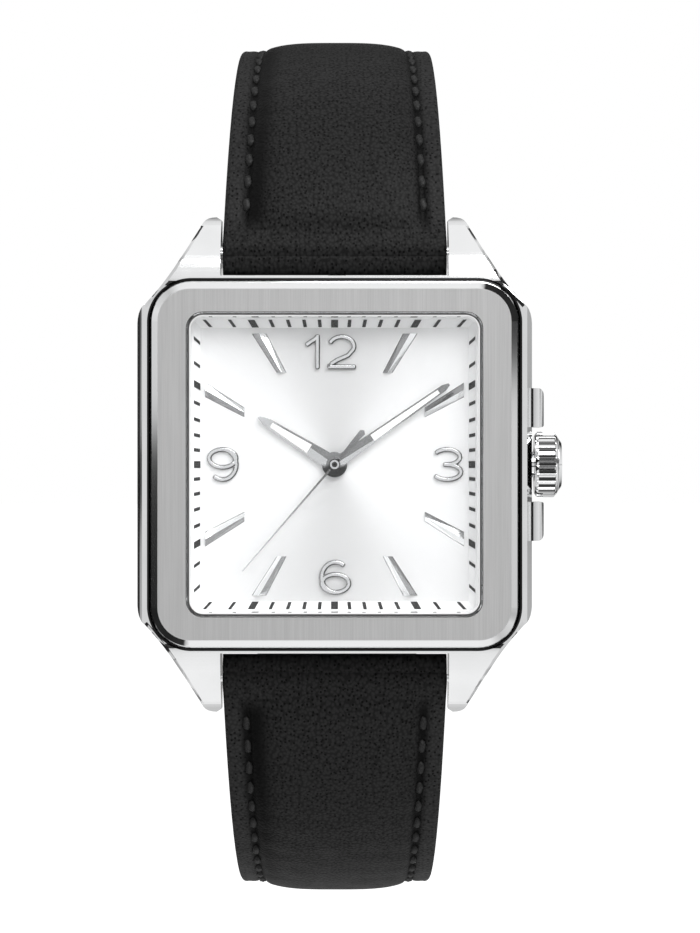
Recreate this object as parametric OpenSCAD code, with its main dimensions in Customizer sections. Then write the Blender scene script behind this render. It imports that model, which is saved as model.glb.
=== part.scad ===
// Rectangular automatic wristwatch on an open leather strap with a pin buckle.
// The watch is drawn lying on its back: x runs to 3 o'clock, y to 12 o'clock and z to the
// wearer's eye. The last lines turn it upright, so that the dial faces -Y with 12 on +Z.
// The origin is the middle of the case back's outer face, on the axis of the hands.

/* [Case] */
// Width of the case across its flanks
case_w = 38; // [37.4:0.1:39]
// Height of the case between its two lug gaps
case_h = 36.3; // [36.1:0.1:36.8]
// Gap between two lugs, which is the strap's width
lug_gap = 22; // [20.5:0.5:22.5]
// Distance between the tips of opposite lugs
lug_span = 48.2; // [47.6:0.2:50]
// Width of a lug near its tip
lug_tip_w = 2; // [1.8:0.1:2.2]
// Height of the middle case's top above the case back's outer face
case_top = 7.4; // [7.35:0.05:7.5]
// Width of the polished bevel along the top of the flanks
flank_bevel = 0.5; // [0.3:0.05:0.6]
// Distance from the middle of the case to a strap bar, along y
bar_y = 20.75; // [20.6:0.05:21]
// Height of the strap bars
bar_z = 3.2; // [3:0.1:3.4]
// How far the crown guards stand out from the flank
guard_out = 1.2; // [0.8:0.05:1.2]

/* [Bezel and crystal] */
// Height of the bezel's brushed top face
bezel_top = 10.3; // [10.2:0.05:10.4]
// Width of the bezel at its foot
bezel_w = 35.7; // [35.5:0.1:35.9]
// Height of the bezel at its foot, from 6 to 12 o'clock
bezel_h = 35.5; // [35.3:0.1:35.7]
// Width of the bright chamfer round the bezel's top
bezel_chamfer = 0.6; // [0.4:0.05:0.7]
// Width of the crystal
crystal_w = 27.4; // [27:0.1:27.6]
// Height of the crystal, from 6 to 12 o'clock
crystal_h = 28.2; // [27.8:0.1:28.4]
// Thickness of the crystal
crystal_t = 1.15; // [1:0.05:1.3]
// Width of the gasket round the crystal
gasket_w = 0.24; // [0.2:0.02:0.3]

/* [Dial and hands] */
// Width of the dial's flat rectangle
dial_w = 25.5; // [25:0.1:25.6]
// Height of the dial's flat rectangle
dial_h = 26; // [25.6:0.1:26.1]
// Thickness of the dial plate
dial_t = 0.4; // [0.3:0.05:0.4]
// Height of the applied numerals
numeral_h = 3.36; // [2.8:0.02:3.6]
// Width of the numerals' strokes
stroke_w = 0.47; // [0.35:0.01:0.6]
// Thickness of the applied numerals and hour batons
applied_t = 0.35; // [0.2:0.05:0.4]
// Width of an hour baton at its outer end
baton_w = 1.4; // [1:0.05:1.5]
// Length of the hour hand from its axis
hour_len = 8.6; // [7:0.1:9]
// Length of the minute hand from its axis
minute_len = 13.4; // [11:0.1:13.5]
// Length of the seconds hand from its axis
seconds_len = 13.5; // [11:0.1:13.5]
// Thickness of the hands
hand_t = 0.16; // [0.12:0.02:0.18]

/* [Crown] */
// Diameter of the crown
crown_d = 6.36; // [6:0.02:6.4]
// Length of the crown's fluted grip
crown_len = 2.2; // [2:0.05:2.4]
// Number of flutes round the crown
flutes = 26; // [16:1:28]
// Height of the winding stem's axis
stem_z = 4.75; // [4.7:0.01:4.8]
// Diameter of the winding stem
stem_d = 1; // [0.9:0.02:1.04]
// Distance that the crown pulls out to set the hands
crown_pull = 0.9; // [0.5:0.1:0.9]

/* [Case back] */
// Width of the square case back
back_w = 31.2; // [31:0.1:31.6]
// Thickness of the case back
back_t = 1.4; // [1.3:0.05:1.45]
// Diameter of the case back's window opening
window_d = 21.6; // [20:0.2:22]
// Distance of a case back screw from the middle, along x and y
back_screw_at = 13.1; // [12.9:0.05:13.2]

/* [Movement] */
// Diameter of the main plate
plate_d = 25.6; // [25.4:0.1:25.65]
// Width of the holder ring between the main plate and the middle case
holder_w = 1.6; // [1.5:0.05:1.7]
// Diameter of the rotor
rotor_d = 24.6; // [23:0.2:25]
// Outer radius of the balance wheel
balance_r = 4.3; // [3.8:0.1:4.4]
// Number of coils in the hairspring
hairspring_turns = 8; // [5:1:10]

/* [Strap] */
// Width of the strap at the buckle
strap_end_w = 18; // [17:0.5:18.4]
// Length of the buckle half, from its lug bar to its buckle bar
upper_len = 72; // [68:0.5:76]
// Length of the holed half, from its lug bar to its tip
lower_len = 112; // [104:1:118]
// Bend radius of the buckle half beside the case
upper_bend_r = 27.3; // [26.8:0.1:28]
// Bend radius of the holed half beside the case
lower_bend_r = 27.8; // [27.3:0.1:28.5]
// Thickness of the top leather above the bend line, at the case
top_t = 1.45; // [1.3:0.05:1.6]
// Thickness of the lining and filler below the bend line, at the case
under_t = 1.25; // [1.1:0.05:1.4]
// Extra height of the padded middle beside the case
crown_h = 1.2; // [0.6:0.05:1.3]
// Width of the flat sewn margin on each side
margin_w = 2.3; // [1.8:0.1:2.6]
// Number of holes in the holed half
holes = 7; // [5:1:8]
// Distance between two holes
hole_pitch = 6.5; // [5.5:0.1:6.5]
// Diameter of a strap hole
hole_d = 2; // [1.8:0.1:2.2]
// Width of a keeper along the strap
keeper_w = 5; // [4:0.5:5]
// Thickness of a keeper's leather
keeper_t = 0.9; // [0.7:0.1:1.1]

/* [Buckle] */
// Length of the buckle frame from its bar
buckle_len = 12.4; // [11:0.2:13]
// Thickness of the buckle's rim
buckle_rim = 2.1; // [1.6:0.1:2.2]
// Width of the buckle's tongue
tongue_w = 2; // [1.6:0.1:2.2]

/* [Hidden] */
$fn = 40;

// Clearances
eps = 0.01;
slip = 0.02;
run = 0.05;
air = 0.1;
soft_gap = 0.3;
over = 1;

// Colours
steel = [0.74, 0.75, 0.76];
dark_steel = [0.45, 0.46, 0.48];
gilt = [0.78, 0.66, 0.36];
rhodium = [0.68, 0.69, 0.7];
black = [0.08, 0.08, 0.08];
silver_white = [0.9, 0.9, 0.9];
ruby = [0.8, 0.1, 0.25];
clear = [0.8, 0.88, 0.92, 0.3];

// Levels of the case, from the case back's outer face up
case_foot = 0.5;
back_seat = back_t;
bay_top = 7;
dial_z = 7.2;
dial_top = dial_z + dial_t;
ledge_z = bezel_top - 1;
crystal_z = ledge_z;
track_top = ledge_z - run;

// Levels of the movement
bridge_z0 = 2.35;
bridge_z1 = 2.8;
plate_z0 = 4.45;
plate_z1 = 6.6;
sink_z = 4.95;
wheel_t = 0.15;
level_a = 4.62;
level_b = 4.1;
level_c = 3.11;

// Round bay in the middle case for the movement and its holder ring
bay_d = plate_d + 2 * holder_w;

// Half sizes
hw = case_w / 2;
hh = case_h / 2;
lug_in = lug_gap / 2;
tip_y = lug_span / 2;
crystal_corner = 1.2;
bezel_corner = 4.1;
dial_margin = 0.9;

// Returns points on a quadratic curve from a to c that leans towards b.
function bend(a, b, c, n = 6) =
    [for (i = [0:n]) let (t = i / n) (1 - t) * (1 - t) * a + 2 * t * (1 - t) * b + t * t * c];

// Returns a list turned end for end.
function turned(p) = [for (i = [len(p) - 1:-1:0]) p[i]];

// Returns a quarter outline mirrored to all four quarters.
function four_ways(q) = concat(
    q,
    [for (p = turned(q)) [-p[0], p[1]]],
    [for (p = q) [-p[0], -p[1]]],
    [for (p = turned(q)) [p[0], -p[1]]]
);

// Rectangle with round corners, from true circles.
module round_rect(hx, hy, r) {
    square([2 * hx, 2 * (hy - r)], center = true);
    square([2 * (hx - r), 2 * hy], center = true);
    for (sx = [-1, 1], sy = [-1, 1])
        translate([sx * (hx - r), sy * (hy - r)])
            circle(r);
}

module round_slab(hx, hy, r, z0, z1) {
    translate([0, 0, z0])
        linear_extrude(z1 - z0)
            round_rect(hx, hy, r);
}

module disc(r, z0, z1) {
    translate([0, 0, z0])
        cylinder(r = r, h = z1 - z0);
}

// Round-cornered block whose side follows a profile of [inset, z] points.
module profiled_block(hx, hy, r, side) {
    last = len(side) - 1;
    rotate([90, 0, 0])
        linear_extrude(2 * (hy - r), center = true)
            polygon(concat(
                [for (p = side) [hx - p[0], p[1]]],
                [for (p = turned(side)) [p[0] - hx, p[1]]]
            ));
    rotate([90, 0, 90])
        linear_extrude(2 * (hx - r), center = true)
            polygon(concat(
                [for (p = side) [hy - p[0], p[1]]],
                [for (p = turned(side)) [p[0] - hy, p[1]]]
            ));
    for (sx = [-1, 1], sy = [-1, 1])
        translate([sx * (hx - r), sy * (hy - r), 0])
            rotate_extrude()
                polygon(concat(
                    [[0, side[0][1]]],
                    [for (p = side) [r - p[0], p[1]]],
                    [[0, side[last][1]]]
                ));
}

// Long cutters laid end to end along an edge, which take a chamfer off it.
module edge_cutters(path, c) {
    for (i = [1:len(path) - 1]) {
        d = path[i] - path[i - 1];
        l = norm(d);
        translate(path[i - 1])
            rotate([0, -asin(d[2] / l), atan2(d[1], d[0])])
                translate([l / 2, 0, 0])
                    rotate([45, 0, 0])
                        cube([l + 0.3, c, c], center = true);
    }
}

// Gear with straight-sided teeth: n teeth of module m, one tooth or gap towards dir.
module gear(n, m, dir = 0, gap = false) {
    pitch = 360 / n;
    root = n * m / 2 - 1.15 * m;
    tip = n * m / 2 + 0.85 * m;
    rotate(dir + (gap ? pitch / 2 : 0))
        polygon([
            for (i = [0:n - 1])
                for (k = [[-0.32, root], [-0.13, tip], [0.13, tip], [0.32, root]])
                    k[1] * [cos((i + k[0]) * pitch), sin((i + k[0]) * pitch)]
        ]);
}

// Windows between the spokes of a wheel.
module spoke_windows(r0, r1, n, w, turn = 0) {
    difference() {
        circle(r1);
        circle(r0);
        for (i = [0:n - 1])
            rotate(turn + i * 360 / n)
                translate([0, -w / 2])
                    square([r1 + over, w]);
    }
}

// Train wheel: a spoked, toothed disc at z on an arbor with a pinion and two pivots.
pivot_r = 0.09;
module train_wheel(n, m, z, dir, gap, spokes, arbor_r, z0, z1) {
    hub = max(0.55, arbor_r + 0.25);
    translate([0, 0, z])
        linear_extrude(wheel_t)
            difference() {
                gear(n, m, dir, gap);
                spoke_windows(hub, n * m / 2 - 4 * m, spokes, 0.28);
            }
    disc(arbor_r, z0, z1);
    disc(pivot_r, z0 - 0.45, z1 + 0.45);
}

module pinion(n, m, z0, z1, dir, gap) {
    translate([0, 0, z0])
        linear_extrude(z1 - z0)
            gear(n, m, dir, gap);
}

// Strip of width w that follows a line of points.
function side_points(p, w, s) = [
    for (i = [0:len(p) - 1])
        let (
            a = p[max(i - 1, 0)],
            b = p[min(i + 1, len(p) - 1)],
            d = (b - a) / norm(b - a)
        )
        p[i] + s * w / 2 * [-d[1], d[0]]
];
module strip(p, w) {
    polygon(concat(side_points(p, w, 1), turned(side_points(p, w, -1))));
}

// Returns points on an ellipse from angle a to angle b.
function oval(c, rx, ry, a, b, n = 14) =
    [for (i = [0:n]) let (t = a + (b - a) * i / n) [c[0] + rx * cos(t), c[1] + ry * sin(t)]];

module at_xy(p) {
    translate([p[0], p[1], 0])
        children();
}

// CASE
lug_flare = bend([hw - 1.6, 16.35], [hw - 3.6, 18.6], [lug_in + lug_tip_w, tip_y - 1], 7);
case_quarter = concat(
    bend([hw, 13.6], [hw - 0.05, 14.9], [hw - 0.8, 15.45], 5),
    lug_flare,
    bend([lug_in + lug_tip_w - 0.25, tip_y - 0.55], [lug_in + 1.45, tip_y],
        [lug_in + 0.5, tip_y], 4),
    [[lug_in, tip_y - 0.35], [lug_in, hh]]
);
flank_top = [
    [hw - 1.3, case_foot], [hw - 0.35, case_foot + 0.7], [hw, case_foot + 2],
    [hw, case_top - 2 * flank_bevel], [hw - flank_bevel, case_top]
];
lug_back = bend([17.2, case_top], [22.3, case_top - 0.5], [tip_y + 0.2, 1.6], 22);
lug_side = concat(
    lug_back,
    bend([tip_y + 0.2, 0.8], [tip_y - 0.6, 0.2], [22.4, 0.25], 3),
    bend([21, 0.3], [19.6, case_foot], [17.4, case_foot], 4)
);
function both_sides(p) = concat(p, [for (q = turned(p)) [-q[0], q[1]]]);

// Upper outer edge of one lug, from the flank's corner to the lug's tip.
lug_edge = concat(
    [[hw - 0.8, 15.45, case_top]],
    [for (y = [16.6, 17.8, 18.9, 19.9, 20.8, 21.6, 22.3, tip_y - 1]) [
        lookup(y, [for (p = lug_flare) [p[1], p[0]]]),
        y,
        lookup(y, lug_back)
    ]]
);

// One crown guard beside the flank, for the 12 o'clock side of the crown: its plan, and its
// section, which is rounded over at the top.
guard_near = 3.6;
guard_far = 7.35;
guard_plan = concat(
    [[hw - over, guard_near]],
    bend([hw + guard_out - 0.3, guard_near], [hw + guard_out, guard_near],
        [hw + guard_out, guard_near + 0.3], 3),
    bend([hw + guard_out, guard_far - 0.9], [hw + guard_out, guard_far - 0.1],
        [hw + guard_out - 0.5, guard_far], 5),
    [[hw - over, guard_far]]
);
guard_section = concat(
    [[hw - over, case_foot + 1.7], [hw + guard_out - 0.3, case_foot + 1.7]],
    [[hw + guard_out, case_foot + 2]],
    bend([hw + guard_out, case_top - 2.1], [hw + guard_out - 0.1, case_top - 0.85],
        [hw - 0.1, case_top - flank_bevel - 0.2], 7),
    [[hw - over, case_top - flank_bevel - 0.2]]
);

case_back_screw_r = 0.5;
module case_back_holes(r, z0, z1) {
    for (sx = [-1, 1], sy = [-1, 1])
        translate([sx * back_screw_at, sy * back_screw_at, 0])
            disc(r, z0, z1);
}

crown_tube_r = 1.25;
stem_r = stem_d / 2;
lug_hole_r = 0.45;
lug_hole_depth = 1.2;
module case_middle() {
    color(steel)
        difference() {
            union() {
                intersection() {
                    linear_extrude(case_top)
                        polygon(four_ways(case_quarter));
                    rotate([90, 0, 0])
                        linear_extrude(lug_span + over, center = true)
                            polygon(both_sides(flank_top));
                    rotate([90, 0, 90])
                        linear_extrude(case_w + over, center = true)
                            polygon(both_sides(turned(lug_side)));
                }
                for (sy = [0, 1])
                    mirror([0, sy, 0])
                        intersection() {
                            linear_extrude(case_top)
                                polygon(guard_plan);
                            translate([0, guard_far + over, 0])
                                rotate([90, 0, 0])
                                    linear_extrude(guard_far)
                                        polygon(guard_section);
                        }
            }
            for (mx = [0, 1], my = [0, 1])
                mirror([mx, 0, 0])
                    mirror([0, my, 0])
                        edge_cutters(lug_edge, 0.5);
            round_slab(back_w / 2 + run, back_w / 2 + run, 3 + run, -over, back_seat);
            disc(bay_d / 2, back_seat - eps, bay_top);
            disc(bay_d / 2 + 0.85, back_seat - eps, back_seat + 0.5);
            disc(13.2, bay_top - eps, case_top + over);
            round_slab(dial_w / 2 + dial_margin, dial_h / 2 + dial_margin, 0.9, dial_z,
                case_top + over);
            case_back_holes(case_back_screw_r + slip, back_seat - eps, 4);
            translate([0, 0, stem_z])
                rotate([0, 90, 0])
                    disc(crown_tube_r + slip, bay_d / 2 - over, hw + over);
            for (sx = [-1, 1], sy = [-1, 1])
                translate([sx * lug_in, sy * bar_y, bar_z])
                    rotate([0, 90 * sx, 0])
                        disc(lug_hole_r, -over, lug_hole_depth);
        }
}

module bezel() {
    cw = crystal_w / 2 + gasket_w + slip;
    ch = crystal_h / 2 + gasket_w + slip;
    lip = 0.15;
    color(steel)
        difference() {
            profiled_block(bezel_w / 2, bezel_h / 2, bezel_corner, [
                [0, case_top], [0.1, case_top + 0.5], [0.4, bezel_top - bezel_chamfer],
                [0.4 + bezel_chamfer, bezel_top]
            ]);
            round_slab(cw - lip - slip, ch - lip - slip, crystal_corner, case_top - over,
                ledge_z + eps);
            round_slab(cw, ch, crystal_corner + gasket_w, ledge_z, bezel_top + over);
            profiled_block(cw + 0.22, ch + 0.22, crystal_corner + 0.45, [
                [0.22, bezel_top - 0.2], [0, bezel_top], [0, bezel_top + over]
            ]);
        }
}

module crystal() {
    color(clear)
        profiled_block(crystal_w / 2, crystal_h / 2, crystal_corner, [
            [0, crystal_z], [0, crystal_z + crystal_t - 0.15], [0.15, crystal_z + crystal_t]
        ]);
}

module crystal_gasket() {
    color(black)
        difference() {
            round_slab(crystal_w / 2 + gasket_w, crystal_h / 2 + gasket_w,
                crystal_corner + gasket_w, ledge_z, bezel_top - 0.15);
            round_slab(crystal_w / 2 + slip, crystal_h / 2 + slip, crystal_corner,
                ledge_z - over, bezel_top + over);
        }
}

// Sloping ring round the dial that carries the minute track.
track_out_x = crystal_w / 2 + gasket_w - 0.19;
track_out_y = crystal_h / 2 + gasket_w - 0.19;
module minute_track_ring() {
    z0 = dial_top + slip;
    slope_top = dial_top + 0.55;
    collar_t = 0.13;
    color(silver_white)
        difference() {
            round_slab(track_out_x, track_out_y, crystal_corner - 0.1, z0, track_top);
            hull() {
                translate([0, 0, z0 - eps])
                    cube([dial_w, dial_h, 0.1], center = true);
                translate([0, 0, slope_top])
                    cube([2 * track_out_x - 0.5, 2 * track_out_y - 0.5, eps], center = true);
            }
            round_slab(track_out_x - collar_t, track_out_y - collar_t, crystal_corner - 0.2,
                slope_top, track_top + over);
        }
}

// DIAL
module dial() {
    color(silver_white) {
        difference() {
            round_slab(dial_w / 2 + dial_margin - run, dial_h / 2 + dial_margin - run, 0.8,
                dial_z, dial_top);
            disc(0.95, dial_z - over, dial_top + over);
        }
        for (a = [60, 240])
            rotate(a)
                translate([11.6, 0, 0])
                    disc(0.35, plate_z1 - 0.4, dial_z + run);
    }
}

// Roof-shaped baton on the ray at an angle a from 12 o'clock, with ends along the dial's edge.
baton_out = 12.5;
baton_in = 8.75;
module baton(a) {
    upright = abs(cos(a)) > 0.7;
    far = upright ? dial_h / 2 - 0.45 : dial_w / 2 - 0.35;
    near = far - (baton_out - baton_in);
    ray = [sin(a), cos(a)];
    main = upright ? abs(cos(a)) : abs(sin(a));
    po = ray * far / main;
    pi = ray * near / main;
    across = upright ? [1, 0] : [0, 1];
    wo = baton_w / 2;
    wi = baton_w / 3;
    base = [po - across * wo, po + across * wo, pi + across * wi, pi - across * wi];
    pts = concat(
        [for (p = base) [p[0], p[1], 0]],
        [[po[0], po[1], applied_t], [pi[0], pi[1], applied_t]]
    );
    translate([0, 0, dial_top])
        hull()
            polyhedron(pts, [[0, 1, 2, 3], [0, 4, 1], [2, 5, 3], [1, 4, 5], [1, 5, 2],
                [0, 5, 4], [0, 3, 5]]);
}

module hour_batons() {
    color(rhodium)
        for (k = [1, 2, 4, 5, 7, 8, 10, 11])
            baton(30 * k);
}

// Numerals, drawn in a cell one unit high.
w1 = stroke_w / numeral_h;
lo = w1 / 2;
hi = 1 - lo;
module one() {
    strip([[0.02, 0.68], [0.36, hi - 0.02]], w1);
    translate([0.36 - lo, 0])
        square([w1, hi + lo]);
}
module two() {
    strip(concat(
        oval([0.42, hi - 0.27], 0.35, 0.27, 165, -20),
        [[0.6, 0.4], [0.3, 0.27], [lo + 0.07, 0.17], [lo, 0.05]]
    ), w1);
    translate([0, 0])
        square([0.83, w1]);
}
module three() {
    strip(concat(oval([0.44, hi - 0.215], 0.37, 0.215, 155, -90), [[0.32, 0.5]]), w1);
    strip(concat([[0.32, 0.5]], oval([0.44, lo + 0.215], 0.4, 0.215, 90, -155)), w1);
}
module six() {
    strip(oval([0.455, 0.5], 0.39, 0.43, 48, 270, 20), w1);
    difference() {
        polygon(oval([0.455, lo + 0.255], 0.385 + lo, 0.255 + lo, 0, 348, 29));
        polygon(oval([0.455, lo + 0.255], 0.385 - lo, 0.255 - lo, 0, 348, 29));
    }
}
numeral_y = 10.8;
module numeral(x, y) {
    translate([x, y, dial_top])
        linear_extrude(applied_t)
            scale([numeral_h, numeral_h])
                children();
}
module hour_numerals() {
    color(rhodium) {
        numeral(-2.85, numeral_y - numeral_h / 2)
            one();
        numeral(-0.72, numeral_y - numeral_h / 2)
            two();
        numeral(numeral_y - 1.5, -numeral_h / 2)
            three();
        numeral(-1.45, -numeral_y - numeral_h / 2)
            six();
        numeral(-numeral_y + 1.6, numeral_h / 2)
            rotate(180)
                six();
    }
}

// CASE BACK
window_r = window_d / 2;
window_seat = 0.8;
module case_back() {
    color(steel)
        difference() {
            profiled_block(back_w / 2, back_w / 2, 3, [
                [0.35, 0], [0, 0.35], [0, back_t]
            ]);
            disc(window_r, -over, back_t + over);
            disc(window_r + window_seat, 0.5, back_t + over);
            case_back_holes(case_back_screw_r + slip, -over, back_t + over);
            case_back_holes(0.95, -over, 0.45);
        }
}

module case_back_window() {
    color(clear) {
        disc(window_r - slip, 0, 0.5);
        disc(window_r + window_seat - run, 0.5, 1.3);
    }
}

module case_back_gasket() {
    color(black)
        translate([0, 0, back_seat])
            linear_extrude(0.4)
                difference() {
                    circle(bay_d / 2 + 0.75);
                    circle(bay_d / 2 + 0.15);
                }
}

module case_back_screws() {
    color(steel)
        for (sx = [-1, 1], sy = [-1, 1])
            translate([sx * back_screw_at, sy * back_screw_at, 0])
                difference() {
                    union() {
                        disc(0.9, 0.08, 0.45);
                        disc(case_back_screw_r, 0.4, 3.6);
                    }
                    translate([0, 0, 0.1])
                        cube([3, 0.25, 0.3], center = true);
                }
}

// CROWN AND WINDING
module on_stem() {
    translate([0, 0, stem_z])
        rotate([0, 90, 0])
            children();
}

crown_in = hw + 0.28;
crown_grip = crown_in + crown_len;
tube_out = crown_in + 1.35;
module crown_tube() {
    color(steel)
        on_stem()
            difference() {
                disc(crown_tube_r, bay_d / 2 + air, tube_out);
                disc(stem_r + 0.15, 0, tube_out + over);
            }
}

module crown() {
    r = crown_d / 2;
    color(steel)
        on_stem()
            difference() {
                union() {
                    intersection() {
                        translate([0, 0, crown_in])
                            linear_extrude(crown_len + 0.25)
                                difference() {
                                    circle(r);
                                    for (i = [0:flutes - 1])
                                        rotate(i * 360 / flutes)
                                            translate([r + 0.08, 0])
                                                circle(0.3, $fn = 16);
                                }
                        rotate_extrude()
                            polygon([
                                [0, crown_in], [r - 0.35, crown_in], [r, crown_in + 0.3],
                                [r, crown_grip - 0.35], [r - 0.4, crown_grip],
                                [r - 0.95, crown_grip + 0.2], [0, crown_grip + 0.25]
                            ]);
                    }
                    rotate_extrude()
                        polygon([
                            [0, crown_in + 1.6], [r - 0.6, crown_in + 1.6],
                            [r - 0.6, crown_grip + 0.1], [r - 1, crown_grip + 0.4],
                            [0, crown_grip + 0.5]
                        ]);
                }
                disc(crown_tube_r + 0.4, crown_in - over, tube_out + 0.15);
                disc(stem_r, 0, crown_in + 2);
            }
}

module crown_gasket() {
    color(black)
        on_stem()
            difference() {
                disc(crown_tube_r + 0.38, crown_in + 0.4, crown_in + 1);
                disc(crown_tube_r + run, 0, crown_in + 2);
            }
}

// The pinions lie under the crown wheel, and the lever's pin rides in the stem's groove.
winding_x0 = 6.4;
winding_x1 = 7.4;
sliding_x0 = 4.9;
sliding_x1 = 6.3;
square_w = stem_d * 0.68;
groove_x = 8.7;
module stem() {
    color(dark_steel)
        on_stem()
            difference() {
                union() {
                    translate([-square_w / 2, -square_w / 2, sliding_x0 - 0.8])
                        cube([square_w, square_w, sliding_x1 - sliding_x0 + 0.9]);
                    disc(stem_r - slip, sliding_x1 + 0.05, crown_in + 2 - slip);
                }
                difference() {
                    disc(stem_r + over, groove_x - 0.25, groove_x + 0.25);
                    disc(stem_r - 0.15, 0, groove_x + over);
                }
            }
}

module winding_pinion() {
    color(dark_steel)
        on_stem()
            translate([0, 0, winding_x0])
                linear_extrude(winding_x1 - winding_x0)
                    difference() {
                        gear(16, 0.18, 180, true);
                        circle(stem_r + run);
                    }
}

module sliding_pinion() {
    mid = (sliding_x0 + sliding_x1) / 2;
    color(dark_steel)
        on_stem()
            difference() {
                union() {
                    translate([0, 0, sliding_x0])
                        linear_extrude(0.4)
                            gear(12, 0.15);
                    disc(0.55, sliding_x0, sliding_x1);
                    disc(0.92, mid + 0.2, sliding_x1);
                }
                cube([square_w + run, square_w + run, 20], center = true);
            }
}

lever_pivot = [groove_x + crown_pull / 2, 3];
pin_at = [groove_x, stem_r - 0.15 + 0.24];
module setting_lever() {
    foot = pin_at - lever_pivot;
    color(dark_steel)
        at_xy(lever_pivot) {
            difference() {
                union() {
                    disc(0.8, plate_z1 + 0.02, plate_z1 + 0.27);
                    translate([0, 0, plate_z1 + 0.02])
                        linear_extrude(0.25)
                            strip([[0.5, 0.9], [0, 0], foot * 0.6, foot], 0.6);
                    at_xy(foot)
                        disc(0.3, plate_z1 + 0.02, plate_z1 + 0.27);
                }
                disc(0.3, plate_z1 - over, plate_z1 + over);
            }
            at_xy(foot)
                disc(0.19, stem_z - 0.1, plate_z1 + 0.1);
        }
}

barrel_at = [3.2, 6.2];
crown_wheel_at = [5, 0];
crown_wheel_dir = atan2(barrel_at[1] - crown_wheel_at[1], barrel_at[0] - crown_wheel_at[0]);
crown_teeth = 24;
ratchet_teeth = 58;
keyless_m = 2 * norm(barrel_at - crown_wheel_at) / (crown_teeth + ratchet_teeth);
keyless_t = 0.2;
keyless_z = 2.85;
wheel_post_r = 0.3;
module crown_wheel() {
    color(steel)
        at_xy(crown_wheel_at)
            translate([0, 0, keyless_z])
                linear_extrude(keyless_t)
                    difference() {
                        gear(crown_teeth, keyless_m, crown_wheel_dir, true);
                        circle(wheel_post_r + run);
                    }
}

module ratchet_wheel() {
    color(steel)
        at_xy(barrel_at) {
            translate([0, 0, keyless_z])
                linear_extrude(keyless_t)
                    gear(ratchet_teeth, keyless_m, crown_wheel_dir + 180, false);
            disc(0.5, bridge_z0 + air, 5.2);
        }
}

module click() {
    color(steel)
        translate([0, 0, bridge_z1]) {
            translate([9.1, 7.6, 0])
                cylinder(r = 0.5, h = keyless_t);
            linear_extrude(keyless_t)
                polygon([[9.1, 7.1], [7.75, 7.8], [7.8, 8.15], [9.1, 8.1]]);
        }
}

// GOING TRAIN
second_at = [-2.4, 4.8];
third_at = [-3.29, 0.85];
escape_at = [0.82, -3.08];
balance_at = [4.9, -6.2];
function dir_from(a, b) = atan2(b[1] - a[1], b[0] - a[0]);

barrel_r = 4.85;
module mainspring_barrel() {
    color(gilt)
        at_xy(barrel_at)
            difference() {
                union() {
                    translate([0, 0, 3.5])
                        linear_extrude(0.5)
                            gear(84, 0.12, dir_from(barrel_at, second_at), false);
                    disc(barrel_r, 3.3, 4.38);
                }
                difference() {
                    disc(barrel_r - 0.3, 3.5, 4.2);
                    disc(0.9, 0, 6);
                }
                disc(0.5 + run, 0, 6);
            }
}

module mainspring() {
    turns = 9;
    steps = 24;
    color(dark_steel)
        at_xy(barrel_at)
            translate([0, 0, 3.55])
                linear_extrude(0.6)
                    strip([
                        for (i = [0:turns * steps])
                            let (r = 1.1 + 3.25 * i / (turns * steps), a = 360 * i / steps)
                            r * [cos(a), sin(a)]
                    ], 0.1);
}

module second_wheel() {
    color(gilt)
        at_xy(second_at) {
            train_wheel(80, 0.09, level_a, dir_from(second_at, third_at), false, 5, 0.3, 2.9,
                sink_z);
            pinion(12, 0.12, 3.45, 4.05, dir_from(second_at, barrel_at), true);
        }
}

module third_wheel() {
    color(gilt)
        at_xy(third_at) {
            train_wheel(75, 0.08, level_b, dir_from(third_at, [0, 0]), false, 4, 0.22, 2.9,
                sink_z);
            pinion(10, 0.09, 4.3, 4.85, dir_from(third_at, second_at), true);
        }
}

seconds_pipe_r = 0.15;
seconds_top = 8.86;
module fourth_wheel() {
    color(gilt) {
        train_wheel(84, 0.07, level_c, dir_from([0, 0], escape_at), false, 4, 0.22, 2.85, 6.4);
        pinion(10, 0.08, 3.95, 4.35, dir_from([0, 0], third_at), true);
        disc(seconds_pipe_r, 6.4, seconds_top);
    }
}

escape_r = 1.9;
module escape_wheel() {
    teeth = 15;
    color(steel)
        at_xy(escape_at) {
            translate([0, 0, level_a])
                linear_extrude(wheel_t)
                    difference() {
                        polygon([
                            for (i = [0:teeth - 1])
                                for (k = [[0, 1.45], [3, escape_r], [8, escape_r - 0.04],
                                    [11, 1.45]])
                                    k[1] * [cos(i * 360 / teeth + k[0]),
                                        sin(i * 360 / teeth + k[0])]
                        ]);
                        spoke_windows(0.45, 1.15, 4, 0.2);
                    }
            disc(0.13, 2.85, sink_z);
            disc(pivot_r, 2.4, 5.4);
            pinion(7, 0.07, 3.06, 3.32, dir_from(escape_at, [0, 0]), true);
        }
}

// The fork's two stones stand just outside the escape wheel's teeth.
fork_dir = dir_from(escape_at, balance_at);
fork_at = escape_at + 2.2 * [cos(fork_dir), sin(fork_dir)];
fork_to_balance = norm(balance_at - fork_at);
roller_r = 0.4;
module pallet_fork() {
    reach = fork_to_balance - roller_r - 0.12;
    color(steel)
        at_xy(fork_at)
            rotate(fork_dir) {
                translate([0, 0, level_a])
                    linear_extrude(wheel_t) {
                        difference() {
                            strip([[0, 0], [reach * 0.8, 0], [reach, 0]], 0.36);
                            translate([reach, 0])
                                square([0.4, 0.14], center = true);
                        }
                        for (s = [-1, 1])
                            strip([[0, 0], [-0.25, s * 0.7], [-0.42, s * 1.05]], 0.3);
                    }
                disc(0.13, 4.5, sink_z);
                disc(pivot_r, 4.22, 5.4);
            }
}

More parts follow.
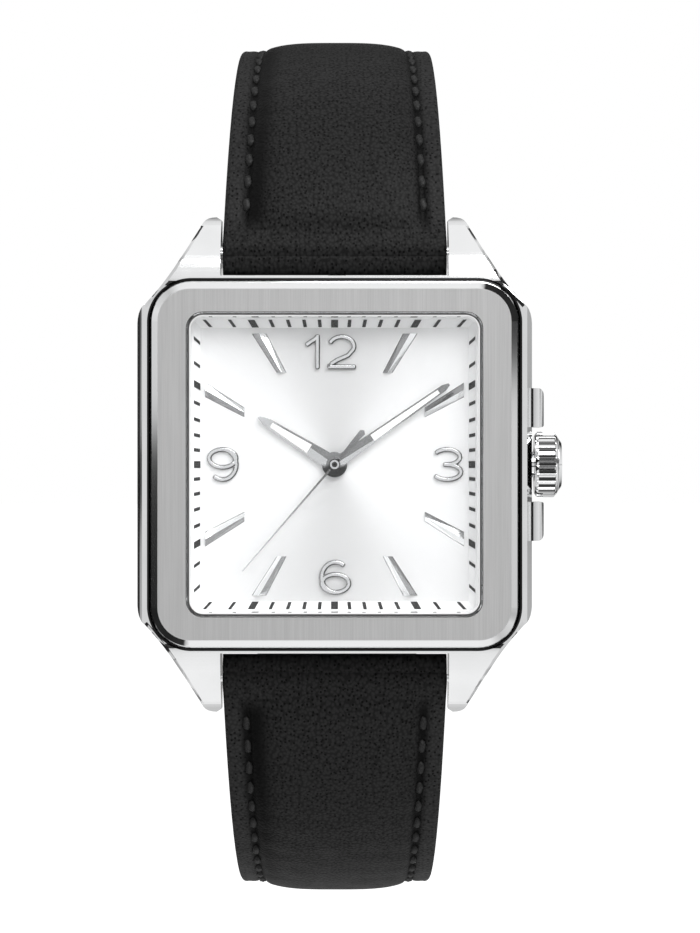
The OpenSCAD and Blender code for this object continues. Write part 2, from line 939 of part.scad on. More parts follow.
module balance_wheel() {
    color(gilt)
        at_xy(balance_at)
            rotate(20) {
                translate([0, 0, 3.7])
                    linear_extrude(0.35)
                        difference() {
                            circle(balance_r, $fn = 64);
                            spoke_windows(0.7, balance_r - 0.5, 2, 0.5);
                        }
                disc(0.17, 2.85, 5.2);
                disc(pivot_r, 2.4, 5.6);
                disc(roller_r - 0.02, 4.5, 4.85);
            }
}

module hairspring() {
    steps = 20;
    color([0.2, 0.28, 0.5])
        at_xy(balance_at) {
            translate([0, 0, 3.3])
                linear_extrude(0.12)
                    strip([
                        for (i = [0:hairspring_turns * steps])
                            let (
                                r = 0.42 + 2.2 * i / (hairspring_turns * steps),
                                a = 360 * i / steps
                            )
                            r * [cos(a), sin(a)]
                    ], 0.05);
            difference() {
                disc(0.52, 3.25, 3.47);
                disc(0.17 + eps, 3, 4);
            }
        }
}

// PLATE AND BRIDGES
module movement_holder() {
    color(black)
        difference() {
            disc(bay_d / 2 - run, 3.2, bay_top - eps);
            disc(plate_d / 2 + run, 3, bay_top + over);
            on_stem()
                disc(0.75, plate_d / 2 - over, bay_d / 2 + over);
        }
}

function pillar_spots() = [[9.8, 5.6], [9.9, 1.95], [-8.3, 6], [-9.5, -1.2], [-2.4, -4.2]];
cock_foot = [10.3, -4.6];
fork_side = [sin(fork_dir), -cos(fork_dir)];
function screw_spots() = concat(pillar_spots(), [cock_foot]);
bridge_screw_r = 0.25;
minute_at = 2.4 * [cos(225), sin(225)];

module main_plate() {
    color(rhodium)
        difference() {
            disc(plate_d / 2, plate_z0, plate_z1);
            disc(0.22 + 0.08, plate_z0 - over, plate_z1 + over);
            at_xy(second_at)
                disc(3.95, plate_z0 - over, sink_z + air);
            at_xy(third_at)
                disc(0.75, plate_z0 - over, sink_z + air);
            at_xy(escape_at)
                disc(2.25, plate_z0 - over, sink_z + air);
            at_xy(balance_at)
                disc(0.9, plate_z0 - over, 5.3);
            at_xy(fork_at)
                rotate(fork_dir)
                    translate([-0.9, -1.6, plate_z0 - over])
                        cube([fork_to_balance + 0.6, 3.2, sink_z + air - plate_z0 + over]);
            for (p = [second_at, third_at, escape_at, fork_at, balance_at])
                at_xy(p)
                    disc(pivot_r + 0.03, plate_z0 - over, 5.7);
            at_xy(barrel_at)
                disc(0.5 + run, plate_z0 - over, 5.4);
            translate([sliding_x0 - 0.6, -1.75, plate_z0 - over])
                cube([winding_x1 - sliding_x0 + 0.8, 3.5, stem_z + 1.7 - plate_z0 + over]);
            on_stem()
                disc(stem_r + run, 3.4, plate_d);
            translate([groove_x - 0.4, 0.35, plate_z0 - over])
                cube([crown_pull + 0.8, 0.75, 4]);
            for (p = screw_spots())
                at_xy(p)
                    disc(bridge_screw_r + slip, plate_z0 - over, 5.6);
            for (a = [60, 240])
                rotate(a)
                    translate([11.6, 0, 0])
                        disc(0.35 + slip, plate_z1 - 0.5, plate_z1 + over);
            at_xy(fork_at)
                for (s = [-1, 1])
                    at_xy(s * 2.2 * fork_side)
                        disc(0.2, plate_z0 - over, 5.4);
        }
    color(rhodium) {
        at_xy(minute_at)
            disc(0.2, plate_z1 - eps, 7.1);
        at_xy(lever_pivot)
            disc(0.25, plate_z1 - eps, plate_z1 + 0.35);
    }
}

jewel_r = 0.55;
module bridge_holes(spots, pins) {
    for (p = spots)
        at_xy(p)
            disc(jewel_r + slip, 0, bridge_z1 + over);
    for (p = pins)
        at_xy(p) {
            disc(bridge_screw_r + slip, 0, 6);
            disc(0.62, 0, bridge_z0 + 0.22);
        }
}

module bridge_plate(outline) {
    translate([0, 0, bridge_z0])
        linear_extrude(bridge_z1 - bridge_z0)
            intersection() {
                circle(plate_d / 2 - 0.2);
                polygon(outline);
            }
}

module pillars(spots, r) {
    for (p = spots)
        at_xy(p)
            disc(r, bridge_z0, plate_z0);
}

module barrel_bridge() {
    pins = [pillar_spots()[0], pillar_spots()[1]];
    color(rhodium)
        difference() {
            union() {
                bridge_plate([[0.6, 13], [0.6, 3.25], [3, 1.15], [3.5, -1.25], [6.2, -1.6],
                    [13, -0.6], [13, 13]]);
                pillars(pins, 0.85);
                at_xy(crown_wheel_at)
                    disc(wheel_post_r, bridge_z0, keyless_z + keyless_t);
            }
            bridge_holes([], pins);
            at_xy(barrel_at)
                disc(0.5 + run, 0, 6);
        }
}

module train_bridge() {
    pins = [pillar_spots()[2], pillar_spots()[3], pillar_spots()[4]];
    color(rhodium)
        difference() {
            union() {
                bridge_plate([[0.45, 13], [0.45, 3.15], [2.85, 1.05], [3.35, -1.3], [2.4, -4.9],
                    [-1, -6], [-4.5, -5.4], [-7, -3.4], [-13, -3], [-13, 13]]);
                pillars(pins, 0.8);
            }
            bridge_holes([second_at, third_at, [0, 0], escape_at], pins);
        }
}

module balance_cock() {
    arm = dir_from(balance_at, cock_foot);
    length = norm(cock_foot - balance_at);
    color(rhodium)
        difference() {
            union() {
                at_xy(balance_at) {
                    disc(1.4, bridge_z0, bridge_z1);
                    rotate(arm)
                        translate([0, 0, bridge_z0])
                            linear_extrude(bridge_z1 - bridge_z0)
                                polygon([[0.2, 1.3], [length, 0.95], [length, -0.95],
                                    [0.2, -1.3]]);
                }
                pillars([cock_foot], 1.1);
            }
            bridge_holes([balance_at], [cock_foot]);
        }
}

module pallet_bridge() {
    color(rhodium)
        difference() {
            translate([0, 0, 4.2])
                linear_extrude(0.25 - eps)
                    strip([fork_at - 2.7 * fork_side, fork_at, fork_at + 2.7 * fork_side], 1);
            at_xy(fork_at)
                disc(pivot_r + 0.03, 4, 5);
            for (s = [-1, 1])
                at_xy(fork_at + s * 2.2 * fork_side)
                    disc(0.2, 4, 5);
        }
}

module bridge_screws() {
    color([0.3, 0.36, 0.6])
        for (p = screw_spots())
            at_xy(p)
                difference() {
                    union() {
                        disc(0.55, bridge_z0, bridge_z0 + 0.2);
                        disc(bridge_screw_r, bridge_z0 + 0.1, 5.4);
                    }
                    translate([0, 0, bridge_z0])
                        cube([2, 0.16, 0.2], center = true);
                }
}

module jewels() {
    color(ruby)
        for (p = [second_at, third_at, [0, 0], escape_at, balance_at])
            at_xy(p)
                difference() {
                    disc(jewel_r, bridge_z0 + 0.06, bridge_z1);
                    disc(pivot_r + 0.03, 0, 6);
                }
}

// The bearing's core is screwed to the train bridge, and the rotor turns round it.
bearing_r = 1.7;
module rotor_bearing() {
    color(dark_steel)
        difference() {
            disc(bearing_r, 1.5, bridge_z0 - eps);
            for (a = [90:120:330])
                rotate(a)
                    translate([0.95, 0, 0])
                        disc(0.25, 0, 1.7);
        }
}

module rotor() {
    r = rotor_d / 2;
    color(steel)
        difference() {
            union() {
                disc(bearing_r + 0.9, 1.7, 2.2);
                translate([0, 0, 1.8])
                    linear_extrude(0.25)
                        intersection() {
                            circle(r);
                            polygon([[-r - over, 0], [-r, -r - over], [r, -r - over], [r + over, 0]]);
                        }
                translate([0, 0, 1.5])
                    linear_extrude(0.75)
                        intersection() {
                            difference() {
                                circle(r);
                                circle(r - 2.4);
                            }
                            polygon([[-r - over, -0.6], [-r, -r - over], [r, -r - over],
                                [r + over, -0.6]]);
                        }
            }
            disc(bearing_r + run, 0, 6);
            translate([0, 0, 1])
                linear_extrude(1.5)
                    for (a = [216, 270, 324])
                        rotate(a)
                            intersection() {
                                difference() {
                                    circle(r - 3.4);
                                    circle(bearing_r + 1.6);
                                }
                                polygon([[0, 0], [r, -4.2], [r, 4.2]]);
                            }
        }
}

// MOTION WORKS AND HANDS
cannon_r = 0.44;
cannon_top = 8.52;
hour_pipe_r = 0.74;
hour_pipe_top = 8.12;
hour_angle = -302;
minute_angle = -55;
seconds_angle = -220.8;
minute_z = 8.26;
seconds_z = minute_z + 0.38;
module cannon_pinion() {
    color(steel)
        difference() {
            union() {
                pinion(12, 0.1, plate_z1 + 0.06, 6.88, 225, true);
                disc(cannon_r, plate_z1 + 0.06, cannon_top);
            }
            disc(seconds_pipe_r + 0.06, 0, 10);
        }
}

module minute_wheel() {
    color(gilt)
        at_xy(minute_at)
            difference() {
                union() {
                    pinion(36, 0.1, 6.68, 6.83, 45, false);
                    pinion(10, 0.096, 6.8, 7.1, 45, true);
                }
                disc(0.2 + run, 0, 10);
            }
}

module hour_wheel() {
    color(gilt)
        difference() {
            union() {
                pinion(40, 0.096, 6.93, 7.08, 225, false);
                disc(hour_pipe_r, 6.93, hour_pipe_top);
            }
            disc(cannon_r + run, 0, 10);
        }
}

// Tapered hand with a pointed end, lying along +y.
module hand_plan(length, root_w, tip_w, tail) {
    polygon([
        [-root_w / 2, -tail], [root_w / 2, -tail], [root_w / 2, root_w * 0.8],
        [tip_w / 2, length - tip_w], [tip_w / 6, length], [-tip_w / 6, length],
        [-tip_w / 2, length - tip_w], [-root_w / 2, root_w * 0.8]
    ]);
}
// The slot that holds a hand's pale filling.
module lume_plan(length, root_w, tip_w, shrink) {
    from = length * 0.33;
    to = length - 1.35 * tip_w - 0.35;
    a = root_w * 0.31 - shrink;
    b = tip_w * 0.3 - shrink;
    polygon([[-a, from + shrink], [a, from + shrink], [b, to - shrink], [-b, to - shrink]]);
}
module filled_hand(length, root_w, tip_w, bore_r, hub_r, z) {
    translate([0, 0, z])
        linear_extrude(hand_t)
            difference() {
                union() {
                    hand_plan(length, root_w, tip_w, 0);
                    circle(hub_r);
                }
                circle(bore_r + slip);
                lume_plan(length, root_w, tip_w, 0);
            }
}
module hand_filling(length, root_w, tip_w, z) {
    translate([0, 0, z])
        linear_extrude(hand_t)
            lume_plan(length, root_w, tip_w, slip);
}

hour_root = 1.5;
hour_tip = 0.8;
minute_root = 1.15;
minute_tip = 0.65;
hour_z = hour_pipe_top - hand_t - slip;
module hour_hand() {
    color(rhodium)
        rotate(hour_angle)
            filled_hand(hour_len, hour_root, hour_tip, hour_pipe_r, 1.22, hour_z);
}
module hour_hand_lume() {
    color("white")
        rotate(hour_angle)
            hand_filling(hour_len, hour_root, hour_tip, hour_z);
}
module minute_hand() {
    color(rhodium)
        rotate(minute_angle)
            filled_hand(minute_len, minute_root, minute_tip, cannon_r, 0.8, minute_z);
}
module minute_hand_lume() {
    color("white")
        rotate(minute_angle)
            hand_filling(minute_len, minute_root, minute_tip, minute_z);
}

module seconds_hand() {
    color(steel)
        rotate(seconds_angle)
            translate([0, 0, seconds_z])
                linear_extrude(hand_t)
                    difference() {
                        union() {
                            polygon([[0.11, 0], [0.05, seconds_len], [-0.05, seconds_len],
                                [-0.11, 0], [-0.3, -4.1], [0, -4.35], [0.3, -4.1]]);
                            circle(0.55);
                        }
                        circle(seconds_pipe_r + slip);
                    }
}

// STRAP
bar_r = 0.9;
bar_pin_r = 0.4;
lug_clear = 0.15;
module spring_bar(half, r, pin_r, pin_len) {
    rotate([0, 90, 0]) {
        disc(r, -half, half);
        disc(pin_r, -half - pin_len, half + pin_len);
    }
}
module lug_spring_bars() {
    color(steel)
        for (s = [-1, 1])
            translate([0, s * bar_y, bar_z])
                spring_bar(lug_in - 0.2, bar_r, bar_pin_r, 1.1);
}

// Each half leaves its lug bar, bends round beside the case, bends again and runs straight.
start_angle = 14;
first_angle = 100;
last_angle = 130;
second_bend_r = 22;
to_deg = 180 / PI;
function first_arc(r) = (first_angle - start_angle) / to_deg * r;
function second_arc(r) = first_arc(r) + (last_angle - first_angle) / to_deg * second_bend_r;
function angle_at(s, r) =
    s <= first_arc(r) ? start_angle + s / r * to_deg
    : s <= second_arc(r) ? first_angle + (s - first_arc(r)) / second_bend_r * to_deg
    : last_angle;
function turn_by(p, r, a, b) = p + r * [sin(b) - sin(a), cos(b) - cos(a)];
function place_at(s, r) =
    let (
        a = angle_at(s, r),
        p0 = [bar_y, bar_z],
        p1 = turn_by(p0, r, start_angle, first_angle),
        p2 = turn_by(p1, second_bend_r, first_angle, last_angle)
    )
    s <= first_arc(r) ? turn_by(p0, r, start_angle, a)
    : s <= second_arc(r) ? turn_by(p1, second_bend_r, first_angle, a)
    : p2 + (s - second_arc(r)) * [cos(a), -sin(a)];

// Half width, margin height, padding and underside of the strap at a distance s.
taper_len = 62;
pad_len = 36;
start_half = lug_in - lug_clear;
function half_at(s) =
    strap_end_w / 2 + (start_half - strap_end_w / 2) * pow(max(0, 1 - s / taper_len), 1.4);
function margin_at(s) = top_t - 0.5 * min(1, s / taper_len);
function pad_at(s) = 0.25 + (crown_h - 0.25) * pow(max(0, 1 - s / pad_len), 1.5);
function under_at(s) = under_t - 0.2 * min(1, s / taper_len);

function to_space(q, s, r) =
    let (a = angle_at(s, r), p = place_at(s, r))
    [q[0], p[0] + q[1] * sin(a), p[1] + q[1] * cos(a)];

lining_t = 0.8;
edge_r = 0.4;
pad_steps = 6;
function leather_ring(s, r, w) =
    let (
        m = margin_at(s),
        u = lining_t - under_at(s),
        c = max(w - margin_w, w * 0.4),
        rise = pad_at(s)
    )
    concat(
        [[-w, u], [-w, m - edge_r], [-w + edge_r * 0.4, m - edge_r * 0.3], [-w + edge_r * 1.3, m],
            [-c, m]],
        [for (i = [1:pad_steps - 1]) let (t = 2 * i / pad_steps - 1)
            [c * t, m + rise * pow(1 - pow(abs(t), 2.6), 0.75)]],
        [[c, m], [w - edge_r * 1.3, m], [w - edge_r * 0.4, m - edge_r * 0.3], [w, m - edge_r],
            [w, u]]
    );
function lining_ring(s, r, w) =
    let (b = -under_at(s), u = b + lining_t - eps)
    [[-w, b + 0.3], [-w, u], [w, u], [w, b + 0.3], [w - 0.3, b], [0.3 - w, b]];

// Solid through a list of rings that all have the same number of points.
module loft(rings) {
    n = len(rings[0]);
    m = len(rings);
    polyhedron(
        [for (g = rings) each g],
        concat(
            [[for (i = [0:n - 1]) i]],
            [for (j = [0:m - 2], i = [0:n - 1])
                [j * n + i, (j + 1) * n + i, j * n + (i + 1) % n]],
            [for (j = [0:m - 2], i = [0:n - 1])
                [(j + 1) * n + i, (j + 1) * n + (i + 1) % n, j * n + (i + 1) % n]],
            [[for (i = [n - 1:-1:0]) (m - 1) * n + i]]
        )
    );
}

module at_strap(s, r) {
    p = place_at(s, r);
    translate([0, p[0], p[1]])
        rotate([-angle_at(s, r), 0, 0])
            children();
}

loop_r = 2.2;
lining_from = 2.6;
strap_steps = 3.2;
tip_len = 9;
function stations(from, to) =
    let (n = ceil((to - from) / strap_steps)) [for (i = [0:n]) from + (to - from) * i / n];
function tip_half(s, full) =
    s < full - tip_len ? half_at(s)
    : half_at(s) * (0.16 + 0.84 * sqrt(max(0, 1 - pow((s - full + tip_len) / tip_len, 2))));
function upper_stations() = stations(0, upper_len);
function lower_stations() = concat(
    stations(0, lower_len - tip_len),
    [for (i = [1:6]) lower_len - tip_len + tip_len * sin(15 * i)]
);
function sewn(list, to) = [for (s = list) if (s >= lining_from && s <= to) s];

// Leather loop round the lug bar, with its running bore.
module lug_loop() {
    translate([0, bar_y, bar_z])
        rotate([0, 90, 0])
            disc(loop_r, -start_half, start_half);
}
module lug_bore() {
    translate([0, bar_y, bar_z])
        rotate([0, 90, 0])
            disc(bar_r + run, -lug_in - over, lug_in + over);
}

buckle_bar_r = 0.8;
buckle_loop_r = 1.6;
strap_end_half = strap_end_w / 2 - 0.15;
slot_half = tongue_w / 2 + 0.4;
module strap_upper() {
    rings = [
        for (s = upper_stations())
            [for (q = leather_ring(s, upper_bend_r, half_at(s))) to_space(q, s, upper_bend_r)]
    ];
    color(black)
        difference() {
            union() {
                loft(rings);
                lug_loop();
                at_strap(upper_len, upper_bend_r)
                    rotate([0, 90, 0])
                        disc(buckle_loop_r, -strap_end_half, strap_end_half);
            }
            lug_bore();
            at_strap(upper_len, upper_bend_r) {
                rotate([0, 90, 0])
                    disc(buckle_bar_r + run, -lug_gap, lug_gap);
                translate([-slot_half, -3.6, -4])
                    cube([2 * slot_half, 8, 8]);
            }
        }
}
lining_end = upper_len - 5;
module strap_upper_lining() {
    color([0.16, 0.15, 0.14])
        loft([
            for (s = sewn(upper_stations(), lining_end))
                [for (q = lining_ring(s, upper_bend_r, half_at(s)))
                    to_space(q, s, upper_bend_r)]
        ]);
}

first_hole = lower_len - 14 - (holes - 1) * hole_pitch;
module strap_holes() {
    for (i = [0:holes - 1])
        at_strap(first_hole + i * hole_pitch, lower_bend_r)
            disc(hole_d / 2, -4, 4);
}
module in_lower() {
    mirror([0, 1, 0])
        children();
}
module strap_lower() {
    rings = [
        for (s = lower_stations())
            [for (q = leather_ring(s, lower_bend_r, tip_half(s, lower_len)))
                to_space(q, s, lower_bend_r)]
    ];
    color(black)
        in_lower()
            difference() {
                union() {
                    loft(rings);
                    lug_loop();
                }
                lug_bore();
                strap_holes();
            }
}
module strap_lower_lining() {
    color([0.16, 0.15, 0.14])
        in_lower()
            difference() {
                loft([
                    for (s = sewn(lower_stations(), lower_len))
                        [for (q = lining_ring(s, lower_bend_r, tip_half(s, lower_len)))
                            to_space(q, s, lower_bend_r)]
                ]);
                strap_holes();
            }
}

// Keeper: a flat leather ring with room for both halves of the strap.
keeper_room = 2;
module keeper(s, gap) {
    hx = half_at(s) + soft_gap;
    z0 = -under_at(s) - gap;
    z1 = margin_at(s) + pad_at(s) + soft_gap + keeper_room;
    color(black)
        at_strap(s, upper_bend_r)
            rotate([90, 0, 0])
                linear_extrude(keeper_w, center = true)
                    translate([0, (z0 + z1) / 2])
                        difference() {
                            round_rect(hx + keeper_t, (z1 - z0) / 2 + keeper_t, 1.4);
                            round_rect(hx, (z1 - z0) / 2, 0.5);
                        }
}
keeper_travel = 2.8;
fixed_keeper_at = upper_len - 3.2 - keeper_w / 2;
sliding_keeper_at = fixed_keeper_at - keeper_w - keeper_travel - soft_gap;
module fixed_keeper() {
    keeper(fixed_keeper_at, slip);
}
module sliding_keeper() {
    keeper(sliding_keeper_at, soft_gap);
}

// BUCKLE
rim_in = strap_end_w / 2 + soft_gap;
rim_out = rim_in + buckle_rim;
module buckle_spring_bar() {
    color(steel)
        at_strap(upper_len, upper_bend_r)
            spring_bar(rim_in - 0.1, buckle_bar_r, 0.5, 1.3);
}

module buckle_frame() {
    front = buckle_len - 2.4;
    color(steel)
        at_strap(upper_len, upper_bend_r)
            difference() {
                union() {
                    translate([0, 0, -1])
                        linear_extrude(2)
                            difference() {
                                translate([0, buckle_len / 2 - 0.7])
                                    round_rect(rim_out, buckle_len / 2 + 0.7, 1.9);
                                translate([0, (front - 2.1) / 2])
                                    round_rect(rim_in, (front + 2.1) / 2, 0.9);
                                translate([0, -3])
                                    square([2 * rim_in, 6], center = true);
                            }
                }
                rotate([0, 90, 0])
                    disc(0.5 + run, -rim_in - 1.5, rim_in + 1.5);
                translate([-tongue_w / 2 - 0.25, front - over, 0.55])
                    cube([tongue_w + 0.5, 2.4 + 2 * over, over]);
            }
}

module buckle_tongue() {
    color(steel)
        at_strap(upper_len, upper_bend_r)
            difference() {
                union() {
                    rotate([0, 90, 0])
                        disc(1.5, -tongue_w / 2, tongue_w / 2);
                    translate([-tongue_w / 2, 0, 0.62])
                        cube([tongue_w, buckle_len - 0.2, 0.88]);
                }
                rotate([0, 90, 0])
                    disc(buckle_bar_r + run, -lug_gap, lug_gap);
            }
}

module upright() {
    rotate([90, 0, 0])
        children();
}

upright() case_middle();
upright() bezel();
upright() crystal();
upright() crystal_gasket();
upright() minute_track_ring();
upright() dial();
upright() hour_batons();
upright() hour_numerals();
upright() case_back();
upright() case_back_window();
upright() case_back_gasket();
upright() case_back_screws();
upright() crown_tube();
upright() movement_holder();
upright() main_plate();
upright() barrel_bridge();
upright() train_bridge();
upright() balance_cock();
upright() pallet_bridge();
upright() bridge_screws();
upright() jewels();
upright() click();
upright() rotor_bearing();
upright() lug_spring_bars();
upright() crown();
upright() stem();
upright() crown_gasket();
upright() winding_pinion();
upright() sliding_pinion();
upright() setting_lever();
upright() crown_wheel();
upright() ratchet_wheel();
upright() mainspring_barrel();
upright() mainspring();
upright() second_wheel();
upright() third_wheel();
upright() fourth_wheel();
upright() seconds_hand();
upright() escape_wheel();
upright() pallet_fork();
upright() balance_wheel();
upright() hairspring();
upright() rotor();
upright() cannon_pinion();
upright() minute_hand();
upright() minute_hand_lume();
upright() minute_wheel();
upright() hour_wheel();
upright() hour_hand();
upright() hour_hand_lume();
upright() strap_upper();
upright() strap_upper_lining();
upright() strap_lower();
upright() strap_lower_lining();
upright() fixed_keeper();
upright() sliding_keeper();
upright() buckle_spring_bar();
upright() buckle_frame();
upright() buckle_tongue();
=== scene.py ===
import math

import bmesh
import bpy
import numpy as np
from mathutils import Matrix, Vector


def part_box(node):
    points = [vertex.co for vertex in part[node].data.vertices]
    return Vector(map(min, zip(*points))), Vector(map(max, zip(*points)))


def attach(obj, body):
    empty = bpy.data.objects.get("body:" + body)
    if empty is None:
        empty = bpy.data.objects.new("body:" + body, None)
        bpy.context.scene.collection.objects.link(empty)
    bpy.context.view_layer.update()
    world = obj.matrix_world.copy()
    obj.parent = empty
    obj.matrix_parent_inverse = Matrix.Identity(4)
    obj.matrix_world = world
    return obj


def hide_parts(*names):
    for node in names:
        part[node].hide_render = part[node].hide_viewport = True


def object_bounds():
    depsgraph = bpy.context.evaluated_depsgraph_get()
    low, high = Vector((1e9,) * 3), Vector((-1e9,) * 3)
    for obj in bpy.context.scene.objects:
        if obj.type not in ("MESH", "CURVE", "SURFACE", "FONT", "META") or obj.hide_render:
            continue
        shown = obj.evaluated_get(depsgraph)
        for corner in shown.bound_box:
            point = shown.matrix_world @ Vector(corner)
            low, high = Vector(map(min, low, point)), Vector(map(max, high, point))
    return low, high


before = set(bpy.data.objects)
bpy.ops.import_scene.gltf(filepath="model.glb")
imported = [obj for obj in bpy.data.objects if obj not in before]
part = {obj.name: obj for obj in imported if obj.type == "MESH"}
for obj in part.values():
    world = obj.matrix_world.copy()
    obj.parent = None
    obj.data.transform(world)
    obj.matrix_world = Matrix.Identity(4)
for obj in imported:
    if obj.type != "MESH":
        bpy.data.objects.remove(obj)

cad_box = [[float(v) for v in corner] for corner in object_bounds()]
scene = bpy.context.scene
mm = 0.001


# THE PHOTOGRAPHER'S TABLE
# The watch stands upright before the lens, which looks straight at the dial from 35 cm.
# A long lens, a white surround, one softbox above, and grey cards and black flags beside it.
def feed(tree, node, **sockets):
    """Sets a node's sockets: i0 is the first. A value is a number or another node's output."""
    for key, value in sockets.items():
        key = int(key[1:]) if key[0] == "i" and key[1:].isdigit() else key.replace("_", " ")
        if isinstance(value, bpy.types.NodeSocket):
            tree.links.new(value, node.inputs[key])
        else:
            node.inputs[key].default_value = value


def put(tree, kind, settings=None, **sockets):
    """Adds one node, with its settings and sockets."""
    node = tree.nodes.new(kind)
    for key, value in (settings or {}).items():
        setattr(node, key, value)
    feed(tree, node, **sockets)
    return node


def calc(tree, operation, a, b=0.0, c=0.5, clamp=False):
    """One Math node's output."""
    return put(tree, "ShaderNodeMath", {"operation": operation, "use_clamp": clamp},
               i0=a, i1=b, i2=c).outputs[0]


def product(tree, first, *others):
    """All the factors multiplied."""
    for factor in others:
        first = calc(tree, "MULTIPLY", first, factor)
    return first


def vector(tree, operation, a, b=(0, 0, 0)):
    """One Vector Math node's output."""
    node = put(tree, "ShaderNodeVectorMath", {"operation": operation}, i0=a, i1=b)
    return node.outputs["Value" if operation in ("LENGTH", "DOT_PRODUCT") else "Vector"]


def axes(tree, place):
    """A place's X, Y and Z."""
    return put(tree, "ShaderNodeSeparateXYZ", i0=place).outputs


def noise(tree, place, scale, detail=2.0):
    """Cloudy noise from 0 to 1, for tones and reliefs."""
    return put(tree, "ShaderNodeTexNoise", i0=place, Scale=scale, Detail=detail).outputs["Fac"]


def grey(tone):
    """Neutral colour."""
    return (tone, tone, tone, 1)


def ramp(tree, value, *stops):
    """Colour ramp through (position, grey or colour) stops."""
    node = put(tree, "ShaderNodeValToRGB", i0=value)
    band = node.color_ramp.elements
    while len(band) < len(stops):
        band.new(0.5)
    for element, (place, tone) in zip(band, stops):
        element.position = place
        element.color = grey(tone) if isinstance(tone, (int, float)) else (*tone, 1)
    return node.outputs["Color"]


def mix(tree, where, first, second, blend="MIX"):
    """The first colour where the mask is 0, and the second, or the two blended, where it is 1."""
    return put(tree, "ShaderNodeMix", {"data_type": "RGBA", "blend_type": blend},
               i0=where, i6=first, i7=second).outputs[2]


def placed(name, data):
    """New object in the scene."""
    made = bpy.data.objects.new(name, data)
    scene.collection.objects.link(made)
    return made


lens = bpy.data.cameras.new("portrait_lens")
lens.sensor_width = 36
lens.lens = 141.8
lens.clip_start = 0.01
tripod = placed("tripod", lens)
tripod.location = (0.001476, -0.3603, -0.00019)
tripod.rotation_euler = (math.radians(90), 0, 0)
scene.camera = tripod
scene.view_settings.view_transform = "Standard"

# What metal mirrors depends on the direction alone. "towards" is 1 towards the lens, 0.5 at
# the sides and 0 behind the watch; "side", "lean" and "rise" are how far it points to either
# side, up or down, and up or down close to the level.
surround = bpy.data.worlds.new("white_surround")
scene.world = surround
surround.use_nodes = True
air = surround.node_tree
air.nodes.clear()
way = axes(air, put(air, "ShaderNodeTexCoord").outputs["Generated"])
towards = calc(air, "MULTIPLY_ADD", way["Y"], -0.5, 0.5)
side = calc(air, "ABSOLUTE", way["X"])
lean = calc(air, "MULTIPLY_ADD", way["Z"], 0.5, 0.5)
rise = calc(air, "MULTIPLY_ADD", way["Z"], 10.0, 0.5)
all_round = ramp(air, towards, (0.0, 0.6), (0.02, 0.5), (0.05, 0.04), (0.12, 0.06), (0.2, 0.8),
                 (0.28, 0.97), (0.80, 0.97), (0.96, 0.9), (1.0, 0.74))
# The pale table, mirrored by the case back when it is seen from above.
far_table = product(air, ramp(air, lean, (0.27, 1.0), (0.36, 0.0)),
                    ramp(air, towards, (0.2, 1.0), (0.3, 0.0)))
# A wide black hood round the lens, narrower above and below it, and grey cards all round.
hood = ramp(air, towards, (0.925, 1.0), (0.935, 0.02), (0.988, 0.02), (0.993, 1.0))
slit = ramp(air, towards, (0.962, 1.0), (0.970, 0.03), (0.986, 0.03), (0.991, 1.0))
at_sides = ramp(air, side, (0.1, 0.0), (0.2, 1.0))
cards = ramp(air, side, (0.0, 1.0), (0.35, 0.95), (0.6, 0.62), (0.9, 0.8), (1.0, 1.0))
# A drape at the sides, a black flag behind the watch, level with its middle, and two beside
# it, low on the left and high on the right, give its bevels their contrast.
behind = ramp(air, towards, (0.3, 1.0), (0.38, 0.0))
beside = ramp(air, towards, (0.36, 0.0), (0.4, 1.0), (0.6, 1.0), (0.64, 0.0))
far_side = ramp(air, side, (0.9, 0.0), (0.98, 1.0))
wide_side = ramp(air, side, (0.5, 0.0), (0.6, 1.0))
round_corner = ramp(air, side, (0.12, 0.0), (0.22, 1.0))
left = calc(air, "LESS_THAN", way["X"], 0.0)
right = calc(air, "GREATER_THAN", way["X"], 0.0)
drape = ramp(air, lean, (0.3, 0.4), (0.47, 0.66), (0.53, 0.8), (0.7, 1.0))
level_flag = ramp(air, rise, (0.30, 1.0), (0.42, 0.12), (0.55, 0.08), (0.62, 1.0))
left_flag = ramp(air, rise, (0.0, 0.03), (0.55, 0.05), (0.64, 1.0))
right_flag = ramp(air, rise, (0.7, 1.0), (0.8, 0.04), (1.0, 0.03))
metal_view = mix(air, far_table, all_round, grey(0.62))
for where, card in ((at_sides, hood), (calc(air, "SUBTRACT", 1.0, at_sides), slit), (1.0, cards),
                    (product(air, far_side, beside), drape),
                    (product(air, wide_side, behind), level_flag),
                    (product(air, round_corner, beside, left), left_flag),
                    (product(air, round_corner, beside, right), right_flag)):
    metal_view = mix(air, where, metal_view, card, "MULTIPLY")
path = put(air, "ShaderNodeLightPath").outputs
around = mix(air, path["Is Glossy Ray"], (0.58, 0.58, 0.585, 1), metal_view)
clean = calc(air, "MAXIMUM", path["Is Camera Ray"], path["Is Transmission Ray"])
glow = put(air, "ShaderNodeBackground", i0=mix(air, clean, around, grey(1)), i1=1.0)
put(air, "ShaderNodeOutputWorld", i0=glow.outputs[0])

# The softbox faces the middle of the watch.
lamp = bpy.data.lights.new("softbox_above", "AREA")
lamp.shape = "RECTANGLE"
lamp.size, lamp.size_y = 0.50, 0.26
lamp.energy = 1.75
softbox = placed("softbox_above", lamp)
x, y, z = 0.20, -0.28, 0.32
softbox.location = (x, y, z)
softbox.rotation_euler = (math.atan2(math.hypot(x, y), z), 0, math.atan2(y, x) + math.pi / 2)

